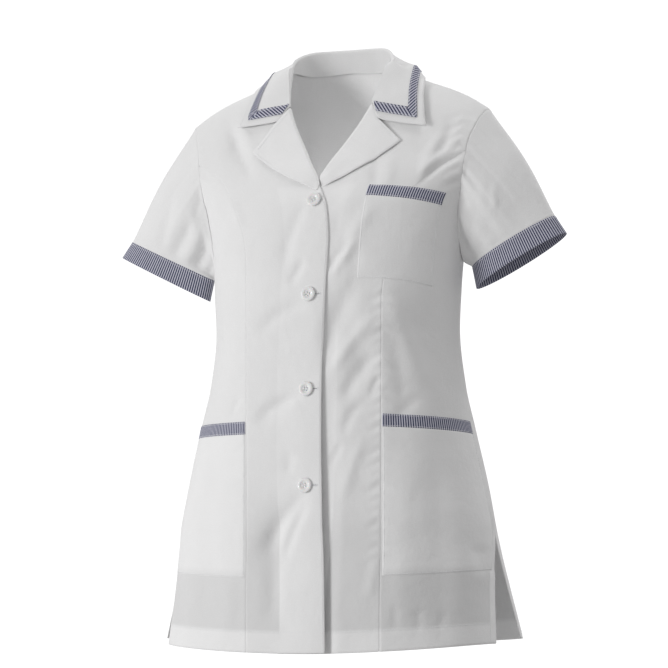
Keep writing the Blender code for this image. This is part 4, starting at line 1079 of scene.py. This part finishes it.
def makeTape():
    borders = (tape["near"], tape["far"])
    ends = [{hand: tapeEnd(hand, distance) for hand in (-1, 1)} for distance in borders]
    reach = min(abs(ends[1][hand][-1][0]) for hand in (-1, 1)) - tape["cornerGap"]
    inside = np.linspace(-reach, reach, tape["stations"])
    near, far = [evenPlaces(end[-1] + [(s, fallShare(s, distance)) for s in inside] + end[1][::-1])
                 for end, distance in zip(ends, borders)]
    share = np.linspace(0.0, 1.0, tape["across"])[None, :, None]
    places = near[:, None] * (1 - share) + far[:, None] * share
    points, ways = collarAt(places[..., 0], places[..., 1])
    sheet = points + ways * (tape["rest"] + tape["thick"])
    # slanting stripes: a leg is measured in one straight run from its start and the rest stretch by
    # stretch, along and across the near border
    total = runLengths(sheet[:, 0])
    last = len(sheet) - 1
    leg = tape["finer"] * tape["leg"]
    corner = np.zeros((last, sheet.shape[1] - 1, 4, 2))
    for i in range(last):
        start, stop = (0, leg) if i < leg else (last - leg, last) if i >= last - leg else (i, i + 1)
        run = unit(sheet[stop, 0] - sheet[start, 0])
        aside = np.cross(ways[(start + stop) // 2, 0], run)
        if np.dot(aside, sheet[i, -1] - sheet[i, 0]) < 0:
            aside = -aside
        for k, (down, over) in enumerate(((0, 0), (0, 1), (1, 1), (1, 0))):
            away = sheet[i + down, over:sheet.shape[1] - 1 + over] - sheet[start, 0]
            along = total[start] + away @ run
            across = away @ aside
            corner[i, :, k, 0] = (along - across) / math.sqrt(2) * tape["stripeShare"]
            corner[i, :, k, 1] = (along + across) / math.sqrt(2)
    keep(makeCloth("collarTape", sheet, ways, tape["thick"], striped, cornerUv=corner),
         "striped_cloth", "collar_trim")
    for column in (1, -2):
        addStitches("tape", sheet[:, column], ways[:, column])


makeTape()

# edge stitching of the collar: along the outer edge, then up both front ends
inner = fineAlong[np.abs(fineAlong) < collarCloth["endStitch"]]
addStitches("collar", *collarAt(inner, [fallShare(s, collarCloth["edgeStitch"]) for s in inner]))
for end in (-collarCloth["endStitch"], collarCloth["endStitch"]):
    acrosses = np.linspace(collarCloth["endFrom"], fallShare(end, collarCloth["edgeStitch"]), 30)
    addStitches("collar", *collarAt(end, acrosses))
print("collar made")

# Lapels: the facings turned back at the roll line
lapelTip = {-1: (0.0955, -0.1056), 1: (0.0972, -0.1000)}
lapelFoot = {-1: (-0.0030, -0.1610), 1: (0.0070, -0.1570)}
# round the roll line: how far in from the front's edge, and how far off the front
lapelProfile = np.array([(0.0012, -0.0030), (0.0, -0.0016), (0.0, 0.0004), (0.0008, 0.0022),
                         (0.0030, 0.0036)])
lapelSizes = dict(top=-0.0470, lowRight=-0.1540, lowLeft=-0.1395, rest=0.0038, edgeRest=0.0024,
                  notchGap=(0.0013, 0.0010), notchPower=6, belly=(0.0040, -0.0030), turnIn=0.25,
                  rows=56, wrap=13, inner=12, outer=14, thick=0.0006, edgeStitch=0.0020, settle=0.0022,
                  settleTo=0.14, footFlat=0.72, footTo=0.20)


def makeLapel(word, hand):
    foot = np.array(lapelFoot[hand])
    tip = np.array(lapelTip[hand])
    notch = np.array(notchPoint[hand])
    low = lapelSizes["low" + word]
    levels = np.linspace(0.0, 1.0, lapelSizes["rows"])
    heights = low + (lapelSizes["top"] - low) * levels
    rolls = np.stack([-edgeReach(heights), heights], -1)
    fine = np.linspace(0.0, 4.0, lapelSizes["wrap"])
    wrap = np.stack([curve(np.arange(5), lapelProfile[:, k], fine) for k in (0, 1)], -1)
    sheet = []
    for level, roll in zip(levels, rolls):
        belly = np.array(lapelSizes["belly"]) * math.sin(math.pi * level)
        outer = foot * (1 - level) + tip * level + belly
        bend = notch - np.array(lapelSizes["notchGap"]) - (rolls[-1] + tip) / 2
        middle = (roll + outer) / 2 + bend * level ** lapelSizes["notchPower"]
        turn = min(1.0, level / lapelSizes["turnIn"])
        reach = unit(middle - roll)
        spots = [roll + reach * along for along, _ in wrap]
        rests = [high if high > 0 else high * turn for _, high in wrap]
        for share in np.linspace(0.0, 1.0, lapelSizes["inner"] + 1)[1:]:
            spots.append(middle * share + (roll + reach * lapelProfile[-1, 0]) * (1 - share))
            rests.append(lapelSizes["rest"])
        for share in np.linspace(0.0, 1.0, lapelSizes["outer"] + 1)[1:]:
            spots.append(outer * share + middle * (1 - share))
            rests.append(lapelSizes["rest"] * (1 - share) + lapelSizes["edgeRest"] * share)
        spots = np.array(spots)
        rests = np.array(rests)
        # towards its foot the left lapel sinks to the front, and the right one gets flat
        if hand > 0:
            rests = rests - lapelSizes["settle"] * smooth(lapelSizes["settleTo"], 0.0, level)
        else:
            rests = rests * (1.0 - lapelSizes["footFlat"] * smooth(lapelSizes["footTo"], 0.0, level))
        sheet.append(onFront(hand * spots[:, 0], spots[:, 1], rests, word.lower()))
    sheet = np.array(sheet)
    own = sheetWays(sheet)
    if own[len(sheet) // 2, -1, 1] > 0:
        own = -own
    keep(makeCloth("lapel" + word, sheet, own, lapelSizes["thick"], white, layersAndShade=1.0),
         "white_cloth", "lapel_" + word.lower())
    # stitches beside the outer edge, and below the notch
    middle = sheet[:, lapelSizes["wrap"] + lapelSizes["inner"]]
    wide = np.maximum(np.linalg.norm(sheet[:, -1] - middle, axis=1), 0.004)
    inside = (1.0 - lapelSizes["edgeStitch"] / wide)[:, None]
    addStitches("lapels", (middle * (1 - inside) + sheet[:, -1] * inside)[3:-1], own[3:-1, -2])
    first = lapelSizes["wrap"] + 1
    addStitches("lapels", sheet[-3, first:-2], own[-3, first:-2])


for word, hand in bothHands:
    makeLapel(word, hand)
print("lapels made")

# Pockets and their trims
chestColumns = ("across", "trimTop", "trimBottom", "bagBottom", "angleTop", "angleBottom")
chestPocket = np.array([
    (0.00, -0.1572, -0.1702, -0.2742, 21.8, 22.3),
    (0.50, -0.1600, -0.1745, -0.2765, 40.0, 41.0),
    (1.00, -0.1661, -0.1815, -0.2836, 60.2, 62.8),
])
pocketCloth = dict(thick=0.00022, trimThick=0.00030, edgeStitch=0.0016, trimStitch=0.0012, trimRows=8,
                   edgeRest=0.00008, edgeRamp=0.0045)
# the chest bag's tone sets its white a little below that of double cloth: painted shade
chestCloth = dict(rest=0.00012, steps=(40, 44), size=(0.095, 0.107), topGap=0.15, shadeTone=0.85)
hipCloth = dict(rest=0.00020, steps=(44, 64), size=(0.160, 0.172), trimDepth=0.0150, bottom=-0.6320,
                slope=0.006, outer=86.0, inner=0.012, shadeToneRamp=0.011, shadeToneEdge=0.45)
hipTrimTop = {-1: (-0.4462, -0.4450), 1: (-0.4404, -0.4455)}


def gridShares(columns, rows):
    return np.linspace(0.0, 1.0, columns + 1)[None, :], np.linspace(0.0, 1.0, rows + 1)[:, None]


def chestGrid(top, bottom, steps, out):
    share, down = gridShares(*steps)
    high, low, angleTop, angleBottom = [readTable(chestPocket, chestColumns, name, share)
                                        for name in (top, bottom, "angleTop", "angleBottom")]
    height = high * (1 - down) + low * down
    pocketTop = chestPocket[0, chestColumns.index("trimTop")]
    pocketBottom = chestPocket[-1, chestColumns.index("bagBottom")]
    fall = (height - pocketTop) / (pocketBottom - pocketTop)
    angle = np.radians(angleTop * (1 - fall) + angleBottom * fall)
    return clothPoint(-1, angle, height, out)


def hipGrid(hand, top, bottom, steps, out):
    share, down = gridShares(*steps)
    high = top[0] * (1 - share) + top[1] * share
    low = bottom[0] * (1 - share) + bottom[1] * share
    height = high * (1 - down) + low * down
    start = princessAngle(hand, height) + hipCloth["inner"]
    angle = hand * (start * (1 - share) + math.radians(hipCloth["outer"]) * share)
    return clothPoint(-1, angle, height, out)


# how far the bag lies off the panel: its turned edges are pressed down at both sides and the bottom
def bagRest(cloth):
    across, down = gridShares(*cloth["steps"])
    fromSide = np.minimum(across, 1 - across) * cloth["size"][0]
    raised = smooth(0.0, pocketCloth["edgeRamp"], np.minimum(fromSide, (1 - down) * cloth["size"][1]))
    top = cloth["rest"] + pocketCloth["thick"] * 2
    return pocketCloth["edgeRest"] + (top - pocketCloth["edgeRest"]) * raised


def trimPlace(cloth):
    return (cloth["steps"][0], pocketCloth["trimRows"]), cloth["rest"] + pocketCloth["trimThick"] * 2


def pocketStitches(sheet, ways):
    side = pocketCloth["edgeStitch"] / np.linalg.norm(sheet[0, 1] - sheet[0, 0])
    foot = pocketCloth["edgeStitch"] / np.linalg.norm(sheet[1, 0] - sheet[0, 0])
    last = sheet.shape[0] - 1 - foot
    row = int(last)
    for edge, beside in ((0, 1), (-1, -2)):
        line = sheet[:, edge] * (1 - side) + sheet[:, beside] * side
        addStitches("pockets", line[:row + 1], ways[:row + 1, edge])
    addStitches("pockets", sheet[row] * (1 - (last - row)) + sheet[row + 1] * (last - row), ways[row])


def sewPocket(name, node, bag, shadeTone, trim):
    keep(makeCloth(name, *bag, pocketCloth["thick"], white, layersAndShade=1.0, shadeTone=shadeTone), "white_cloth", node)
    pocketStitches(*bag)
    sheet, ways = trim
    uv = gridUv(np.broadcast_to(sheet[len(sheet) // 2], sheet.shape))
    piece = makeCloth(name.replace("Pocket", "PocketTrim"), sheet, ways, pocketCloth["trimThick"], striped,
                      uv=uv, layersAndShade=1.0)
    keep(piece, "striped_cloth", node.replace("pocket", "pocket_trim"))
    share = pocketCloth["trimStitch"] / np.linalg.norm(sheet[-1, 0] - sheet[0, 0])
    for place in (share, 1 - share):
        addStitches("trims", sheet[0] * (1 - place) + sheet[-1] * place, ways[0])


def makeChestPocket():
    sheet, ways = chestGrid("trimBottom", "bagBottom", chestCloth["steps"], bagRest(chestCloth))
    sheet[0] = sheet[0] + (sheet[1] - sheet[0]) * chestCloth["topGap"]
    trim = chestGrid("trimTop", "trimBottom", *trimPlace(chestCloth))
    sewPocket("chestPocket", "chest_pocket", (sheet, ways), chestCloth["shadeTone"], trim)


def makeHipPocket(word, hand):
    top = np.array(hipTrimTop[hand])
    seam = top - hipCloth["trimDepth"]
    bottom = (hipCloth["bottom"], hipCloth["bottom"] + hipCloth["slope"])
    bag = hipGrid(hand, seam - seamGap, bottom, hipCloth["steps"], bagRest(hipCloth))
    # the photo shows no bright rim at the bottom, so the tone falls there towards that of single cloth:
    # painted shade along the bag's foot
    fromFoot = (1 - gridShares(*hipCloth["steps"])[1]) * hipCloth["size"][1]
    fade = smooth(0.0, hipCloth["shadeToneRamp"], fromFoot)
    shadeTone = hipCloth["shadeToneEdge"] + (1 - hipCloth["shadeToneEdge"]) * fade
    trim = hipGrid(hand, top, seam, *trimPlace(hipCloth))
    sewPocket("hipPocket" + word, "hip_pocket_" + word.lower(), bag, shadeTone, trim)


makeChestPocket()
for word, hand in bothHands:
    makeHipPocket(word, hand)
print("pockets made")

# Buttons: a rim, a dished middle and four holes, sewn on through them
button = dict(x=0.0008, heights=(-0.1745, -0.2925, -0.4086, -0.5253), radius=0.009, depth=0.0026,
              rest=0.0007, hole=0.00095, holeFrom=0.0022, holeDepth=0.0013, holeEdge=(0.00015, -0.00020),
              under=0.94, underRest=0.00005, rounds=96, rings=44, firstTurn=12.0, nextTurn=23.0,
              threadHeight=0.66, threadAside=(-0.00035, 0.0, 0.00035))
buttonShape = np.array([(0.00, 0.60), (0.44, 0.62), (0.56, 0.90), (0.66, 1.00), (0.82, 1.00),
                        (0.94, 0.84), (1.00, 0.55)])


# faces between two rings of points, each given by its first point
def bridge(first, second, rounds):
    return [(first + k, second + k, second + (k + 1) % rounds, first + (k + 1) % rounds)
            for k in range(rounds)]


def makeButton(number, height):
    angle = np.arcsin(button["x"] / section("halfFront", height))
    centre, way = clothPoint(-1, angle, np.array(height), 0.0, "right")
    centre = centre + way * button["rest"]
    across = unit(np.cross(np.array((0.0, 0.0, 1.0)), way))
    up = np.cross(way, across)
    rounds = button["rounds"]
    turns = np.linspace(0.0, 2 * math.pi, rounds + 1)[:-1]
    radii = np.linspace(0.02, 1.0, button["rings"])
    spin = math.radians(button["firstTurn"] + button["nextTurn"] * number)
    corners = [spin + math.pi / 4 + k * math.pi / 2 for k in range(4)]
    high = curve(buttonShape[:, 0], buttonShape[:, 1], radii)[:, None] * button["depth"]
    px = radii[:, None] * np.cos(turns)[None, :] * button["radius"]
    pz = radii[:, None] * np.sin(turns)[None, :] * button["radius"]
    wide, narrow = [button["hole"] + edge for edge in button["holeEdge"]]
    for corner in corners:
        awayX = px - math.cos(corner) * button["holeFrom"]
        awayZ = pz - math.sin(corner) * button["holeFrom"]
        high = high - button["holeDepth"] * smooth(wide, narrow, np.hypot(awayX, awayZ))
    flat = across * px[..., None] + up * pz[..., None]
    face = centre + flat + way * high[..., None]
    under = centre + flat * button["under"] + way * button["underRest"]
    points = np.concatenate([face.reshape(-1, 3), under[[0, -1]].reshape(-1, 3)])
    # the face's rings, then the underside's inner and outer one
    last = (button["rings"] - 1) * rounds
    inner = last + rounds
    outer = inner + rounds
    faces = []
    for ring in range(0, last, rounds):
        faces += bridge(ring, ring + rounds, rounds)
    faces += bridge(last, outer, rounds) + bridge(outer, inner, rounds)
    faces.append(tuple(range(rounds)))
    faces.append(tuple(inner + k for k in range(rounds))[::-1])
    keep(newPiece("button%d" % number, [tuple(p) for p in points], faces, pearl),
         "button", "button_%d" % number)
    for pair in (corners[:2], corners[2:]):
        first, second = [centre + (across * math.cos(corner) + up * math.sin(corner)) * button["holeFrom"]
                         + way * button["depth"] * button["threadHeight"] for corner in pair]
        for aside in button["threadAside"]:
            shift = unit(np.cross(way, second - first)) * aside
            spots = [(first + shift) * (1 - t) + (second + shift) * t for t in stitch["places"]]
            addThread("buttonThread", np.stack(spots), way)


for number, height in enumerate(button["heights"], 1):
    makeButton(number, height)

# Buttonholes: a cut between two rows of close cross stitches, with a bar at each end; in the cut lies a dark
# grey sheet, painted shade of the gap
hole = dict(fromX=-0.0060, toX=0.0150, fromEdge=0.0040, near=0.00025, half=0.0014, pitch=0.00045,
            stitchSize=1.05, barHalf=1.15, barAside=(-0.0004, 0.0, 0.0004), barRest=0.0001, barSize=1.1,
            slitHalf=0.00022, slitRest=0.00015, slitPoints=12)


def makeButtonholes():
    out = np.array((0.0, -1.0, 0.0))
    points = []
    faces = []
    for height in button["heights"]:
        toX = min(hole["toX"], float(edgeReach(height)) - button["x"] - hole["fromEdge"])
        xs = np.arange(hole["fromX"], toX, hole["pitch"]) + button["x"]
        for side in (-1, 1):
            near = onFront(xs, height + side * hole["near"], 0.0, "right")
            far = onFront(xs, height + side * hole["half"], 0.0, "right")
            for a, b in zip(near, far):
                spots = np.stack([a * (1 - t) + b * t for t in stitch["places"]])
                addThread("buttonhole", spots, out, hole["stitchSize"])
        reach = hole["half"] * hole["barHalf"]
        for x in (hole["fromX"], toX):
            for aside in hole["barAside"]:
                zs = np.linspace(height - reach, height + reach, len(stitch["places"]))
                spots = onFront(x + aside + button["x"], zs, hole["barRest"], "right")
                addThread("buttonhole", spots, out, hole["barSize"])
        count = hole["slitPoints"]
        ends = np.linspace(hole["fromX"], toX, count) + button["x"]
        base = len(points)
        for side in (-1, 1):
            points += onFront(ends, height + side * hole["slitHalf"], hole["slitRest"], "right").tolist()
        faces += [(base + k, base + k + 1, base + count + k + 1, base + count + k) for k in range(count - 1)]
    keep(newPiece("buttonholeSlits", points, faces, slitShade), "white_cloth")


makeButtonholes()
print("buttons made")


# Stitch lines of the hem, the vents and the front edge, and how far they keep from ends and edges
bodyLines = dict(end=0.004, ventEnd=0.01, hemEnd=0.02, frontLow=0.003, frontTop=-0.168, frontEdge=0.0022)


def bodyStitches():
    hemLine = hemHeight + bodyCloth["hem"]
    for word, hand in bothHands:
        for limits, owner in ((frontLimits, word.lower()), (sideLimits, "")):
            start, end = limits(hand, np.full(2, hemLine))
            angle = hand * np.linspace(start[0] + bodyLines["end"], end[0] - bodyLines["end"], 90)
            addStitches("hem", *clothPoint(-1, angle, np.full(90, hemLine), 0.0, owner))
        heights = np.linspace(hemHeight + bodyLines["end"], ventTop, 60)
        angle = hand * (math.pi / 2 - bodyCloth["vent"] / section("depthFront", heights))
        for side in (-1, 1):
            addStitches("vents", *clothPoint(side, angle, heights))
        share = np.linspace(0.0, 1.0, 10)
        top = angle[-1] * (1 - share) + hand * (math.pi / 2 - bodyLines["ventEnd"]) * share
        for side in (-1, 1):
            addStitches("vents", *clothPoint(side, top, np.full(10, ventTop)))
    heights = np.linspace(hemHeight + bodyLines["frontLow"], bodyLines["frontTop"], 220)
    angle = -(frontInner(heights) + bodyLines["frontEdge"] / section("halfFront", heights))
    addStitches("frontEdge", *clothPoint(-1, angle, heights, 0.0, "right"))
    reach = math.pi / 2 - bodyLines["hemEnd"]
    addStitches("hem", *clothPoint(1, np.linspace(-reach, reach, 240), np.full(240, hemLine)))


bodyStitches()
for group in stitchLines:
    keep(finishStitches(group), "white_cloth")
print("stitches made:", sum(len(lines) for lines in stitchLines.values()))

# Floor, backdrop and lights
studio = dict(floor=-1.45, radius=7.0, bend=3.0, bendSteps=12, wall=9.0, rounds=96,
              worldColour=(1.0, 0.995, 0.995, 1.0), worldStrength=0.40)
paperColour = (0.88, 0.885, 0.89)
paperFinish = {"Roughness": 0.95, "Emission Color": (1.0, 1.0, 1.0, 1.0), "Emission Strength": 0.75}
lampColumns = ("place", "target", "size", "power")
lamps = {
    "keyLamp": ((-2.35, -2.5, -0.1), (0.0, 0.0, -0.35), (1.0, 1.6), 63.0),
    "highLamp": ((1.1, 0.4, 2.3), (0.1, 0.0, -0.1), (1.6, 1.2), 33.0),
    # light that the thin white cloth lets through into the hollow
    "insideLamp": ((0.03, -0.02, -0.26), (0.03, 0.09, -0.26), (0.18, 0.30), 0.17),
}


def makeStudio():
    low = studio["floor"]
    bend = studio["bend"]
    rounds = studio["rounds"]
    profile = [(studio["radius"] * 0.5, low), (studio["radius"], low)]
    for k in range(1, studio["bendSteps"] + 1):
        turn = math.pi / 2 * k / studio["bendSteps"]
        profile.append((studio["radius"] + bend * math.sin(turn), low + bend * (1 - math.cos(turn))))
    profile.append((studio["radius"] + bend, low + studio["wall"]))
    points = [(0.0, 0.0, low)]
    for radius, height in profile:
        for k in range(rounds):
            turn = 2 * math.pi * k / rounds
            points.append((radius * math.cos(turn), radius * math.sin(turn), height))
    faces = [(0, 1 + k, 1 + (k + 1) % rounds) for k in range(rounds)]
    for ring in range(len(profile) - 1):
        faces += bridge(1 + ring * rounds, 1 + (ring + 1) * rounds, rounds)
    paper = plainMaterial("studioPaper", paperColour, 0.01, paperFinish)
    floor = newPiece("studioFloor", points, faces, paper)
    floor.visible_diffuse = False
    world = bpy.data.worlds.new("studioWorld")
    bpy.context.scene.world = world
    world.use_nodes = True
    world.node_tree.nodes["Background"].inputs[0].default_value = studio["worldColour"]
    world.node_tree.nodes["Background"].inputs[1].default_value = studio["worldStrength"]
    bpy.context.scene.view_settings.view_transform = "Standard"


def addLamp(name, lamp):
    data = bpy.data.lights.new(name, "AREA")
    data.shape = "RECTANGLE"
    data.size, data.size_y = lamp["size"]
    data.energy = lamp["power"]
    back = unit(np.array(lamp["place"]) - np.array(lamp["target"]))
    side = unit(np.cross((0.0, 0.0, 1.0), back))
    stand(name, data, side, np.cross(back, side), back, lamp["place"]).visible_camera = False


makeStudio()
for name, row in lamps.items():
    addLamp(name, dict(zip(lampColumns, row)))
print("studio made")
